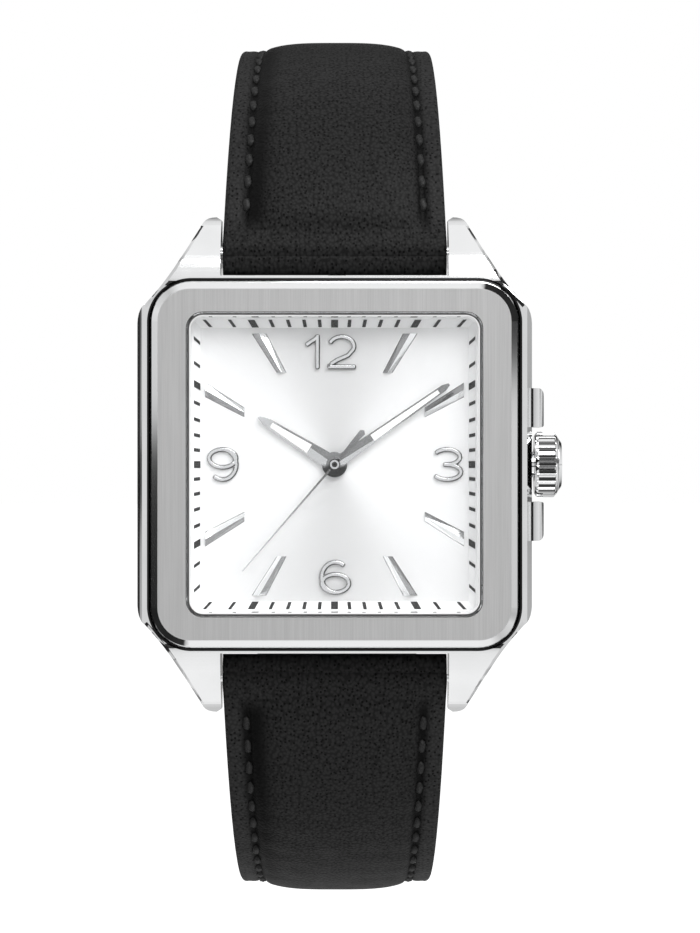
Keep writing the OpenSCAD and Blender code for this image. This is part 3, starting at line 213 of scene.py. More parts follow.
# The table stands below the reach of the lower strap half, which can swing down.
low, reach = cad_box[0][2] - 0.053, 9
table = bpy.data.meshes.new("pale_table")
table.from_pydata([(-reach, -reach, low), (reach, -reach, low), (reach, reach, low),
                   (-reach, reach, low)], [], [(0, 1, 2, 3)])
paper = bpy.data.materials.new("table_paper")
paper.use_nodes = True
sheet = paper.node_tree
sheet.nodes.clear()
at = put(sheet, "ShaderNodeTexCoord").outputs["Object"]
fibres = ramp(sheet, noise(sheet, at, 900.0), (0.3, 0.86), (0.7, 0.9))
matt = put(sheet, "ShaderNodeBsdfDiffuse", i0=fibres)
ray = put(sheet, "ShaderNodeLightPath").outputs
spread = calc(sheet, "MULTIPLY", vector(sheet, "LENGTH", at), 2.5)
away = ramp(sheet, spread, (0.33, 0.2), (0.7, 0.62))
seen = calc(sheet, "MAXIMUM", calc(sheet, "MULTIPLY", ray["Is Diffuse Ray"], 0.3),
            calc(sheet, "MAXIMUM", ray["Is Camera Ray"], ray["Is Transmission Ray"]))
extra = put(sheet, "ShaderNodeEmission", i0=grey(1), i1=calc(sheet, "MULTIPLY", seen, away))
both = put(sheet, "ShaderNodeAddShader", i0=matt.outputs[0], i1=extra.outputs[0])
# Metal mirrors the surround and its flags, and not the table.
clear = put(sheet, "ShaderNodeBsdfTransparent")
cut = put(sheet, "ShaderNodeMixShader", i0=ray["Is Glossy Ray"], i1=both.outputs[0],
          i2=clear.outputs[0])
put(sheet, "ShaderNodeOutputMaterial", i0=cut.outputs[0])
table.materials.append(paper)
table_top = placed("pale_table", table)


# MIDDLE CASE, CASE BACK AND CROWN
# Stainless steel, milled and mirror-polished by hand, with hairline wear along its edges.
# The crown is turned and fluted. Springs and screws of the case are plain polished steel.
def finish(name, colour, metallic, roughness, **more):
    """New material with one Principled shader: returns it, its tree, shader and Object coords."""
    made = bpy.data.materials.new(name)
    made.use_nodes = True
    tree = made.node_tree
    shader = tree.nodes["Principled BSDF"]
    feed(tree, shader, Base_Color=(*colour, 1), Metallic=metallic, Roughness=roughness, **more)
    return made, tree, shader, put(tree, "ShaderNodeTexCoord").outputs["Object"]


def bump(tree, height, strength, distance):
    """Normal that follows a height."""
    return put(tree, "ShaderNodeBump", Strength=strength, Distance=distance,
               Height=height).outputs[0]


def dress(material, *names):
    """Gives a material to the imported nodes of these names."""
    for name in names:
        for slot in part[name].material_slots:
            slot.material = material


NUMBER, COLOUR, VECTOR = "NodeSocketFloat", "NodeSocketColor", "NodeSocketVector"


def new_effect(name, ins, outs):
    """Empty node group with named sockets: returns its tree, its inputs and its output node."""
    tree = bpy.data.node_groups.new(name, "ShaderNodeTree")
    for key, kind, value in [("Vector", VECTOR, None), *ins]:
        socket = tree.interface.new_socket(key, in_out="INPUT", socket_type=kind)
        if value is not None:
            socket.default_value = value
    for key, kind in outs:
        tree.interface.new_socket(key, in_out="OUTPUT", socket_type=kind)
    return tree, tree.nodes.new("NodeGroupInput").outputs, tree.nodes.new("NodeGroupOutput")


def use(tree, effect, **sockets):
    """Places a node group in a material, and returns what it puts out."""
    return put(tree, "ShaderNodeGroup", {"node_tree": effect}, **sockets).outputs


handling, given, taken = new_effect(
    "handling_marks",
    [("Tone", COLOUR, (0.8, 0.8, 0.8, 1)), ("Gloss", NUMBER, 0.08), ("Haze", NUMBER, 0.08)],
    [("Tone", COLOUR), ("Roughness", NUMBER), ("Height", NUMBER)])
smear = noise(handling, given["Vector"], 260.0, 4.0)
stretched = put(handling, "ShaderNodeMapping", i0=given["Vector"], Rotation=(0.3, 0.9, 0.4),
                Scale=(90, 2600, 600))
scratch = noise(handling, stretched.outputs[0], 1.0)
mottled = ramp(handling, smear, (0.3, 0.94), (0.7, 1.0))
feed(handling, taken, Tone=mix(handling, 1.0, given["Tone"], mottled, "MULTIPLY"),
     Roughness=calc(handling, "MULTIPLY_ADD", smear, given["Haze"], given["Gloss"]),
     Height=calc(handling, "POWER", scratch, 3.0))


def polished(name, colour, gloss=0.06, haze=0.06, marks=0.03):
    """Polished metal with faint hazes and hairlines: returns it, its tree and Object coords."""
    made, tree, shader, at = finish(name, colour, 1.0, gloss)
    worn = use(tree, handling, Vector=at, Tone=(*colour, 1), Gloss=gloss, Haze=haze)
    feed(tree, shader, Base_Color=worn["Tone"], Roughness=worn["Roughness"],
         Normal=bump(tree, worn["Height"], marks, 4e-5))
    return made, tree, at


def shaded(made, mask, tone):
    """Darkens a finished metal where the mask is 1, by a multiplying tone."""
    colour = made.node_tree.nodes["Principled BSDF"].inputs["Base Color"]
    made.node_tree.links.new(mix(made.node_tree, mask, colour.links[0].from_socket, grey(tone),
                                 "MULTIPLY"), colour)


def outside(tree, at, half_w, half_h, corner):
    """Distance outside a rectangle with round corners that faces 6-12, in millimetres."""
    past = vector(tree, "SUBTRACT", vector(tree, "ABSOLUTE", at),
                  ((half_w - corner) * mm, 1.0, (half_h - corner) * mm))
    past = vector(tree, "MAXIMUM", past)
    return calc(tree, "MULTIPLY_ADD", vector(tree, "LENGTH", past), 1000.0, -corner)


def bevelled(name, node, body, width, material):
    """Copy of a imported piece, merged and cleared of flat joints, with its edges broken."""
    mesh = part[node].data.copy()
    mesh.name = name
    shape = bmesh.new()
    shape.from_mesh(mesh)
    bmesh.ops.remove_doubles(shape, verts=shape.verts, dist=8e-6)
    bmesh.ops.dissolve_limit(shape, angle_limit=math.radians(2), verts=shape.verts,
                             edges=shape.edges)
    bmesh.ops.recalc_face_normals(shape, faces=shape.faces)
    shape.to_mesh(mesh)
    shape.free()
    mesh.materials.clear()
    mesh.materials.append(material)
    mesh.shade_smooth()
    mesh.set_sharp_from_angle(angle=math.radians(20))
    piece = placed(name, mesh)
    if width:
        edge = piece.modifiers.new("broken_edges", "BEVEL")
        edge.width, edge.segments, edge.limit_method = width * mm, 2, "ANGLE"
        edge.angle_limit = math.radians(35)
        edge.use_clamp_overlap = False
        edge.harden_normals = True
    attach(piece, body)
    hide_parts(node)


STEEL = (0.9, 0.905, 0.91)
mirror_steel = polished("mirror_steel", STEEL)[0]
dress(mirror_steel, "crown_tube", "case_back_screws", "lug_spring_bars", "buckle_spring_bar")

# Painted shadow: the case's top is darkened in the seam beside the bezel, where shade falls between
# the parts.
case_steel, tree, at = polished("case_steel", STEEL)
seam = calc(tree, "LESS_THAN", outside(tree, at, 17.85, 17.75, 4.1), 0.17)
front = calc(tree, "LESS_THAN", axes(tree, at)["Y"], -6 * mm)
shaded(case_steel, product(tree, seam, front), 0.03)
bevelled("case_middle_smooth", "case_middle", "case", 0, case_steel)
dress(polished("back_steel", (0.78, 0.785, 0.79), 0.14, 0.12, 0.08)[0], "case_back")

# Painted shade darkens the crown's grooves: radius from the stem's axis, between its two rims.
crown_steel, tree, at = polished("crown_steel", STEEL)
from_stem = vector(tree, "MULTIPLY", vector(tree, "SUBTRACT", at, (0, -4.75 * mm, 0)),
                   (0, 1000, 1000))
along = calc(tree, "MULTIPLY", axes(tree, at)["X"], 1000.0)
between = product(tree, calc(tree, "GREATER_THAN", along, 19.62),
                  calc(tree, "LESS_THAN", along, 21.25))
deep = calc(tree, "SUBTRACT", vector(tree, "LENGTH", from_stem), 2.5)
shaded(crown_steel, product(tree, between, ramp(tree, deep, (0.5, 1.0), (0.6, 0.0))), 0.05)
dress(crown_steel, "crown")


# BEZEL
# One square steel frame pressed on the middle case. Its flat top is brushed from 6 to 12
# o'clock on all four sides; the chamfers outside and inside it are polished bright.
brushing, given, taken = new_effect(
    "straight_brushing", [("Pitch", NUMBER, 7000.0), ("Run", NUMBER, 110.0)],
    [("Lines", NUMBER), ("Height", NUMBER)])
spread = put(brushing, "ShaderNodeCombineXYZ", i0=given["Pitch"], i1=given["Run"],
             i2=given["Run"])
pulled = vector(brushing, "MULTIPLY", given["Vector"], spread.outputs[0])
fine = put(brushing, "ShaderNodeTexNoise", i0=pulled, Scale=1.0, Detail=3.0,
           Roughness=0.65).outputs["Fac"]
broad = noise(brushing, pulled, 0.21)
feed(brushing, taken, Height=fine, Lines=calc(brushing, "MULTIPLY_ADD", fine, 0.7,
                                              calc(brushing, "MULTIPLY", broad, 0.3)))

# Painted shade: the bezel is darkened behind -8.1 mm, where its sides go down into the case's seam.
bezel_steel, tree, shader, at = finish("brushed_bezel", (0.62, 0.625, 0.63), 1.0, 0.3)
lines = use(tree, brushing, Vector=at)
depth = axes(tree, at)["Y"]
top_face = calc(tree, "LESS_THAN", depth, -10.292 * mm)
painted_shade_foot = calc(tree, "GREATER_THAN", depth, -8.1 * mm)
grain = ramp(tree, lines["Lines"], (0.3, 0.8), (0.5, 0.875), (0.7, 0.95))
tint = mix(tree, top_face, (0.86, 0.865, 0.87, 1), grain)
satin = calc(tree, "MULTIPLY_ADD", lines["Lines"], 0.2, 0.24)
gloss = put(tree, "ShaderNodeMix", {"data_type": "FLOAT"}, i0=top_face, i2=0.07, i3=satin)
feed(tree, shader, Base_Color=mix(tree, painted_shade_foot, tint, grey(0.03)), Roughness=gloss.outputs[0],
     Normal=bump(tree, product(tree, lines["Height"], top_face), 0.3, 1.5e-5))
dress(bezel_steel, "bezel")


# CRYSTAL, WINDOW AND GASKETS
# Flat sapphire with a coating against glare, and the same in the case back's window.
# Each sits in a thin moulded seal that shows as a fine dark line.
glass, tree, shader, at = finish("sapphire", (0.99, 0.995, 1.0), 0.0, 0.0, IOR=1.45,
                                 Transmission_Weight=1.0, Specular_IOR_Level=0.1)
lit = product(tree, put(tree, "ShaderNodeLightPath").outputs["Is Shadow Ray"], 0.96)
feed(tree, shader, Roughness=product(tree, noise(tree, at, 400.0, 3.0), 0.015),
     Alpha=calc(tree, "SUBTRACT", 1.0, lit))
dress(glass, "crystal", "case_back_window")


def speckled(name, colour, gloss, scale, low, high, detail=2.0, metallic=0.0, relief=None,
             **more):
    """Plain material whose colour varies slightly, and whose relief, if any, follows it."""
    made, tree, shader, at = finish(name, colour, metallic, gloss, **more)
    cloud = noise(tree, at, scale, detail)
    feed(tree, shader, Base_Color=ramp(tree, cloud, (0.3, low), (0.7, high)))
    if relief:
        feed(tree, shader, Normal=bump(tree, cloud, *relief))
    return made


dress(speckled("seal_rubber", (0.02, 0.02, 0.022), 0.45, 3000.0, 0.012, 0.035),
      "case_back_gasket", "crown_gasket")

# The crystal's own seal is pale nylon; only its outer lip shows dark against the bezel.
nylon, tree, shader, at = finish("pale_seal", (0.8, 0.8, 0.8), 0.0, 0.4)
lip = outside(tree, at, 13.7, 14.1, 1.2)
feed(tree, shader, Base_Color=ramp(tree, lip, (0.14, 0.8), (0.18, 0.05)))
dress(nylon, "crystal_gasket")


# DIAL AND MINUTE TRACK
# Silvered brass: the plate is brushed outwards from its middle and lacquered. The sloping
# ring round it is plain silver, with dark printed minutes and a square at each hour.
sunburst, given, taken = new_effect(
    "sunburst_brushing", [("Rays", NUMBER, 160.0)],
    [("Rays", NUMBER), ("Height", NUMBER), ("Wedge", NUMBER)])
flat = axes(sunburst, given["Vector"])
turn = calc(sunburst, "ARCTAN2", flat["X"], flat["Z"])
streak = put(sunburst, "ShaderNodeTexNoise", {"noise_dimensions": "1D"},
             W=product(sunburst, turn, given["Rays"]), Scale=1.0, Detail=4.0,
             Roughness=0.7).outputs["Fac"]
# Its last output marks a painted reflection: 1 towards 12 and 6 o'clock and 0 towards 3 and 9.
feed(sunburst, taken, Rays=streak, Height=streak,
     Wedge=calc(sunburst, "ABSOLUTE", calc(sunburst, "COSINE", turn)))

silver_dial, tree, shader, at = finish("silvered_sunburst", (0.86, 0.86, 0.865), 0.25, 0.4,
                                       Coat_Weight=0.1, Coat_Roughness=0.08)
rays = use(tree, sunburst, Vector=at)
# Painted reflection: the plate is made greyer towards 12 and 6 o'clock and paler towards 3 and 9,
# as the brushing would mirror the lamps.
painted_reflection_wedge = ramp(tree, rays["Wedge"], (0.0, 0.92), (0.55, 0.9), (0.8, 0.8), (1.0, 0.64))
silk = ramp(tree, rays["Rays"], (0.3, 0.955), (0.7, 1.0))
feed(tree, shader, Base_Color=mix(tree, 1.0, painted_reflection_wedge, silk, "MULTIPLY"),
     Normal=bump(tree, rays["Height"], 0.55, 1.2e-5))
dress(silver_dial, "dial")
dress(speckled("silvered_ring", (0.95, 0.95, 0.95), 0.45, 9000.0, 0.94, 0.97,
               relief=(0.2, 1e-5)), "minute_track_ring")


def printed_marks(minutes, half, inner, outer):
    """Thin bars on the sloping ring: each runs along its ray from one inset rectangle to the
    next, x = k tan(a) on the upper and lower sides and z = k / tan(a) on the others."""
    a = np.radians(6.0 * minutes)[:, None]
    f = np.array([inner, outer])[None, :]
    # Half width, half height and level of the slope, at that share of the way outwards.
    wide, tall, high = 12.75 + 0.75 * f, 13.0 + 0.9 * f, 7.668 + 0.485 * f
    up, over = np.abs(np.cos(a)), np.abs(np.sin(a))
    upright = up * 13.2 > over * 13.5
    run = np.where(upright, tall / np.maximum(up, 1e-6), wide / np.maximum(over, 1e-6))
    x, z = run * np.sin(a), run * np.cos(a)
    dx, dz = np.where(upright, half, 0.0), np.where(upright, 0.0, half)
    corners = np.stack([np.stack([x + s * dx, 0 * x - high - lift, z + s * dz], -1)
                        for s, lift in ((-1, 0.004), (1, 0.004), (1, 0.016), (-1, 0.016))], 2)
    return corners * mm


ink = speckled("track_ink", (0.006, 0.006, 0.006), 0.6, 5000.0, 0.01, 0.02,
               Specular_IOR_Level=0.1)
minutes = np.arange(60)
blocks = np.concatenate([printed_marks(minutes[minutes % 5 > 0], 0.165, 0.18, 0.96),
                         printed_marks(minutes[minutes % 5 == 0], 0.33, 0.14, 0.95)])
first = np.arange(len(blocks))[:, None, None] * 8
sides = np.array([[0, 1, 2, 3], [7, 6, 5, 4], [0, 4, 5, 1], [1, 5, 6, 2], [2, 6, 7, 3],
                  [3, 7, 4, 0]])
mesh = bpy.data.meshes.new("minute_marks")
mesh.from_pydata(blocks.reshape(-1, 3).tolist(), [], (first + sides).reshape(-1, 4).tolist())
mesh.materials.append(ink)
minute_marks = placed("minute_marks", mesh)
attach(minute_marks, "case")


# HOUR MARKERS AND HANDS
# Cut from brass, faceted, rhodium-plated and polished. The two broad hands hold a pale
# luminous filling; the thin seconds hand is polished steel, darkened with painted shade.
def depth_mask(tree, at, level, soft=0.02):
    """1 behind a height above the case back, given in millimetres, and 0 in front of it."""
    return calc(tree, "MULTIPLY_ADD", axes(tree, at)["Y"], 1000.0 / soft, level / soft,
                clamp=True)


def from_axis(tree, at):
    """Distance from the hands' axis, in millimetres."""
    return vector(tree, "LENGTH", vector(tree, "MULTIPLY", at, (1000, 0, 1000)))


def ring_mask(tree, at, inner, outer):
    """1 between two distances from the hands' axis, given in millimetres."""
    r = from_axis(tree, at)
    return product(tree, calc(tree, "GREATER_THAN", r, inner), calc(tree, "LESS_THAN", r, outer))


def hub_shadow(tree, at):
    """Painted shadow on the lower half of a hub, fading upwards."""
    fade = calc(tree, "MULTIPLY_ADD", axes(tree, at)["Z"], -2500.0, 0.2, clamp=True)
    return product(tree, fade, ring_mask(tree, at, 0.0, 1.3))


# Painted shade: one facet of each baton is darkened and the other left bright, as the lamps light
# them; its foot is darkened too, where its shadow falls.
baton_metal, tree, at = polished("baton_facets", (0.93, 0.935, 0.94), 0.12, 0.05)
flat = axes(tree, at)
hours = product(tree, calc(tree, "ARCTAN2", flat["X"], flat["Z"]), 6 / math.pi)
past = calc(tree, "SUBTRACT", hours, calc(tree, "ROUND", hours))
shaded(baton_metal, calc(tree, "LESS_THAN", past, 0.0), 0.38)
shaded(baton_metal, depth_mask(tree, at, 7.66), 0.3)
dress(baton_metal, "hour_batons")

# Painted shade: the numerals' sides are darkened, most of all those that face away from the
# softbox.
numeral_metal, tree, at = polished("numeral_polish", (0.68, 0.685, 0.69), 0.14, 0.05)
numeral_top = -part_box("hour_numerals")[0][1] / mm
rim = depth_mask(tree, at, numeral_top - 0.015)
facing = vector(tree, "DOT_PRODUCT", put(tree, "ShaderNodeTexCoord").outputs["Normal"],
                (0.85, 0, -0.5))
turned_away = ramp(tree, facing, (0.1, 0.0), (0.45, 1.0))
shaded(numeral_metal, rim, 0.5)
shaded(numeral_metal, product(tree, rim, turned_away), 0.02)
bevelled("applied_numerals", "hour_numerals", "case", 0.17, numeral_metal)

# Each broad hand is ridged, and painted shade darkens one half: the clockwise one, or the other. A
# painted shadow darkens the lower half of its hub.
for name, node, body, clock, clockwise in (
        ("hour_hand_bevelled", "hour_hand", "hours", -55.0, True),
        ("minute_hand_bevelled", "minute_hand", "minutes", 58.0, False)):
    hand_metal, tree, at = polished(name + "_polish", (0.62, 0.625, 0.63), 0.12, 0.06)
    a = math.radians(clock)
    lean = vector(tree, "DOT_PRODUCT", at, (math.cos(a), 0, -math.sin(a)))
    half = calc(tree, "GREATER_THAN", lean, 0.0)
    if not clockwise:
        half = calc(tree, "SUBTRACT", 1.0, half)
    shaded(hand_metal, half, 0.42)
    shaded(hand_metal, hub_shadow(tree, at), 0.02)
    bevelled(name, node, body, 0.05, hand_metal)
dress(polished("pinion_polish", (0.5, 0.5, 0.51), 0.14, 0.06)[0], "cannon_pinion")

# Painted shade: the seconds hand is darkened round its hub, with a dark dot and ring there, and
# paler towards its point.
sweep_metal, tree, at = polished("seconds_steel", (0.6, 0.6, 0.61), 0.16, 0.06)
near = ramp(tree, product(tree, from_axis(tree, at), 0.1), (0.07, 0.0), (0.08, 1.0),
            (0.25, 0.85), (1.0, 0.0))
shaded(sweep_metal, near, 0.25)
shaded(sweep_metal, ring_mask(tree, at, 0.0, 0.26), 0.02)
shaded(sweep_metal, ring_mask(tree, at, 0.44, 0.7), 0.02)
bevelled("seconds_hand_bevelled", "seconds_hand", "seconds", 0.05, sweep_metal)
dress(speckled("luminous_filling", (0.95, 0.95, 0.93), 0.6, 12000.0, (0.92, 0.92, 0.9),
               (0.98, 0.98, 0.965)), "hour_hand_lume", "minute_hand_lume")


# PLATES AND BRIDGES OF THE MOVEMENT
# Rhodium-plated brass. The main plate is covered with overlapping round grainings, and the
# bridges and the rotor carry broad straight stripes. They show through the back window.
perlage, given, taken = new_effect("round_graining", [("Scale", NUMBER, 900.0)],
                                   [("Tone", NUMBER), ("Height", NUMBER)])
plane = axes(perlage, given["Vector"])
level = put(perlage, "ShaderNodeCombineXYZ", i0=plane["X"], i1=plane["Z"])
spots = put(perlage, "ShaderNodeTexVoronoi", {"voronoi_dimensions": "2D"}, i0=level.outputs[0],
            Scale=given["Scale"], Randomness=0.12).outputs["Distance"]
rings = calc(perlage, "SINE", calc(perlage, "MULTIPLY", spots, 34.0))
feed(perlage, taken, Tone=spots, Height=calc(perlage, "MULTIPLY_ADD", rings, 0.25, 0.5))

stripes, given, taken = new_effect(
    "broad_stripes", [("Pitch", NUMBER, 420.0), ("Turn", NUMBER, 0.5)],
    [("Tone", NUMBER), ("Height", NUMBER)])
turned = put(stripes, "ShaderNodeVectorRotate", {"rotation_type": "Y_AXIS"}, i0=given["Vector"],
             Angle=given["Turn"])
across = axes(stripes, turned.outputs[0])["X"]
saw = calc(stripes, "FRACT", product(stripes, across, given["Pitch"]))
hair = put(stripes, "ShaderNodeTexNoise", {"noise_dimensions": "1D"},
           W=product(stripes, across, 24000.0), Detail=2.0).outputs["Fac"]
feed(stripes, taken, Height=saw, Tone=calc(stripes, "MULTIPLY_ADD", saw, 0.75,
                                           calc(stripes, "MULTIPLY", hair, 0.25)))


def patterned(name, effect, dark, light, gloss, strength, distance, **sockets):
    """Plated metal whose tone and relief follow a decorated pattern."""
    made, tree, shader, at = finish(name, light, 1.0, gloss)
    seen = use(tree, effect, Vector=at, **sockets)
    feed(tree, shader, Base_Color=ramp(tree, seen["Tone"], (0.1, dark), (0.8, light)),
         Roughness=ramp(tree, seen["Tone"], (0.0, gloss + 0.12), (1.0, gloss)),
         Normal=bump(tree, seen["Height"], strength, distance))
    return made


dress(patterned("grained_plate", perlage, (0.24, 0.24, 0.24), (0.5, 0.5, 0.49), 0.22, 0.5, 3e-5),
      "main_plate")
dress(patterned("striped_bridge", stripes, (0.34, 0.345, 0.35), (0.62, 0.62, 0.62), 0.2, 0.35,
                6e-5, Pitch=520.0, Turn=0.6), "barrel_bridge", "train_bridge", "balance_cock",
      "pallet_bridge")
dress(patterned("striped_rotor", stripes, (0.2, 0.2, 0.205), (0.42, 0.42, 0.425), 0.22, 0.4,
                6e-5, Pitch=430.0, Turn=0.0), "rotor")
dress(speckled("holder_ring", (0.05, 0.05, 0.052), 0.5, 2500.0, 0.04, 0.07, 3.0),
      "movement_holder")


# WHEELS, SPRINGS, SCREWS AND JEWELS
# Gilt brass wheels with circular graining, polished steel pinions, heat-blued screws and
# hairspring, and pressed ruby bearings.
gilding, given, taken = new_effect("gilt_graining", [("Fineness", NUMBER, 14000.0)],
                                   [("Tone", COLOUR), ("Height", NUMBER)])
fine = noise(gilding, given["Vector"], given["Fineness"])
cloud = noise(gilding, given["Vector"], 700.0, 3.0)
gold_mix = calc(gilding, "MULTIPLY_ADD", fine, 0.5, calc(gilding, "MULTIPLY", cloud, 0.5))
feed(gilding, taken, Height=fine,
     Tone=ramp(gilding, gold_mix, (0.35, (0.66, 0.47, 0.2)), (0.65, (0.86, 0.67, 0.34))))

# Painted shade: the hour wheel's pipe is made black where it comes through the dial.
gilt, tree, shader, at = finish("gilt_brass", (0.8, 0.6, 0.28), 1.0, 0.24)
gold = use(tree, gilding, Vector=at)
feed(tree, shader, Base_Color=mix(tree, depth_mask(tree, at, 7.5), grey(0.004), gold["Tone"]),
     Normal=bump(tree, gold["Height"], 0.15, 1e-5))
dress(gilt, "mainspring_barrel", "second_wheel", "third_wheel", "fourth_wheel",
      "balance_wheel", "minute_wheel", "hour_wheel")
works_steel = polished("works_steel", (0.5, 0.505, 0.51), 0.14, 0.1, 0.06)[0]
dress(works_steel, "stem", "winding_pinion", "sliding_pinion", "setting_lever", "crown_wheel",
      "ratchet_wheel", "click", "escape_wheel", "pallet_fork", "rotor_bearing", "mainspring")
dress(speckled("blued_steel", (0.05, 0.1, 0.42), 0.18, 1500.0, (0.03, 0.05, 0.3),
               (0.08, 0.17, 0.55), metallic=1.0), "bridge_screws", "hairspring")
dress(speckled("synthetic_ruby", (0.62, 0.02, 0.1), 0.06, 1800.0, (0.4, 0.01, 0.06),
               (0.75, 0.03, 0.14), Coat_Weight=0.6, Coat_Roughness=0.03), "jewels")


# STRAP
# Two halves of black calf over a filler, folded round the lug bars and sewn to a lining.
# The crown between the seams is padded beside the case; flat margins run outside them.

# Millimetres: x is across a half, h out of it, and s along it from its lug bar. The angles
# are degrees. Each half has its radius beside the case, its length, and 1 up or -1 down.
halves = {"upper": (27.3, 72.0, 1.0), "lower": (27.8, 112.0, -1.0)}
bar_y, bar_z, gap_half = 20.75, 3.2, 10.85
start, first_stop, last_stop, second_r = 14.0, 100.0, 130.0, 22.0
taper, pad_len, pad_rise, margin, thread_in = 62.0, 37.0, 0.62, 2.3, 2.12
tip_len, fold_reach, fold_top, loop_r = 9.0, 2.4, 2.2, 1.6


def to_space(x, h, s, half):
    """Carries flat strap points (across, out, along) on to the half's path: an arc beside the
    case, a second arc of the other radius, then a straight run."""
    r, length, way_up = halves[half]
    t0, t1, t2 = np.radians([start, first_stop, last_stop])
    arc1 = (t1 - t0) * r
    arc2 = arc1 + (t2 - t1) * second_r
    a = np.where(s <= arc1, t0 + s / r, np.minimum(t1 + (s - arc1) / second_r, t2))
    a1, a2, straight = np.minimum(a, t1), np.maximum(a, t1), np.maximum(s - arc2, 0)
    y = (bar_y + r * (np.sin(a1) - np.sin(t0)) + second_r * (np.sin(a2) - np.sin(t1)) +
         straight * np.cos(t2))
    z = (bar_z + r * (np.cos(a1) - np.cos(t0)) + second_r * (np.cos(a2) - np.cos(t1)) -
         straight * np.sin(t2))
    return np.stack([x + 0 * z, -(z + h * np.cos(a)), way_up * (y + h * np.sin(a))], -1) * mm


def ease(a, b, s):
    """Smooth step from 0 at a to 1 at b."""
    q = np.clip((s - a) / (b - a), 0, 1)
    return q * q * (3 - 2 * q)


def bell(x, middle, width):
    """Bell curve of height 1 round a place."""
    return np.exp(-((x - middle) / width) ** 2)


def arch(s, reach, height):
    """Upper half of an ellipse round 0, and 0 outside it."""
    return height * np.sqrt(np.clip(1 - (s / reach) ** 2, 0, None))


def quarter(count):
    """Angles over a quarter turn."""
    return np.linspace(0, np.pi / 2, count)


def padded(s):
    """1 beside the case, falling to 0 over the 18 mm where the padding ends."""
    return 1 - ease(pad_len, pad_len + 18, s)


def half_width(s, half):
    """Half width at a distance s: a slow taper to 18 mm, and a round tip on the holed half."""
    w = 9 + (gap_half - 9) * np.clip(1 - s / taper, 0, None) ** 1.4
    w = np.where(s < 0, gap_half, w)
    if half == "lower":
        q = np.clip((s - halves[half][1] + tip_len) / tip_len, 0, 1)
        w = w * (0.16 + 0.84 * np.sqrt(1 - q ** 2))
    return w


def margin_height(s):
    """Height of the sewn margin above the bend line: 1.45 at the lugs, 0.95 past the taper,
    and 0.33 more where the strap is padded."""
    return 1.45 - 0.5 * np.clip(s / taper, 0, 1) + 0.33 * padded(s)


def under(s):
    """Depth of the strap's underside below the bend line: 1.25 at the lugs, 1.05 at the end."""
    return 1.25 - 0.2 * np.clip(s / taper, 0, 1)


def top_height(x, s, w, half):
    """Outer surface: margin, padded crown 1-|x/c|^3.4, seam channel, bar fold and creases."""
    length = halves[half][1]
    c = np.maximum(w - margin, w * 0.4)
    rise = 0.25 + pad_rise * padded(s)
    if half == "lower":
        rise = rise * ease(length, length - 12, s)
    crown = rise * np.clip(1 - np.abs(x / c) ** 3.4, 0, 1) ** 0.8 * ease(0.1, 3.2, s)
    channel = 0.32 * bell(np.abs(x), w - thread_in, 0.4) * ease(1.0, 3.0, s)
    edge_line = 0.05 * bell(np.abs(x), w - 0.75, 0.12)
    base = np.where(s < 0, arch(np.minimum(s, 0), fold_reach, fold_top),
                    margin_height(s) + (fold_top - margin_height(0)) * bell(s, 0, 1.1))
    crease = 0.26 * bell(s, -1.0, 0.16)
    ripple = 0.02 * np.sin(s * 2.1 + 0.7 * np.sin(x * 0.55)) * bell(s, 16, 9)
    height = base + crown - channel - edge_line - crease + ripple
    if half == "upper":
        loop = arch(s - length, loop_r, loop_r)
        height = np.where(s > length, loop, np.maximum(height, loop))
    return height


def strap_rows(half):
    """Stations along a half, close together in the folds and at the tip."""
    length = halves[half][1]
    if half == "lower":
        run = np.arange(0.3, length - tip_len, 0.36)
        end = length - tip_len + tip_len * np.sin(quarter(26))
    else:
        run = np.arange(0.3, length - 0.2, 0.32)
        end = length + loop_r * np.sin(quarter(10))
    return np.concatenate([-fold_reach * np.cos(quarter(12)), run, end])


def girth(x, h):
    """Distance along a closed outline, from its first point round to that point again."""
    step = np.hypot(np.diff(x, append=x[..., :1]), np.diff(h, append=h[..., :1]))
    return np.concatenate([0 * step[..., :1], np.cumsum(step, -1)], -1)


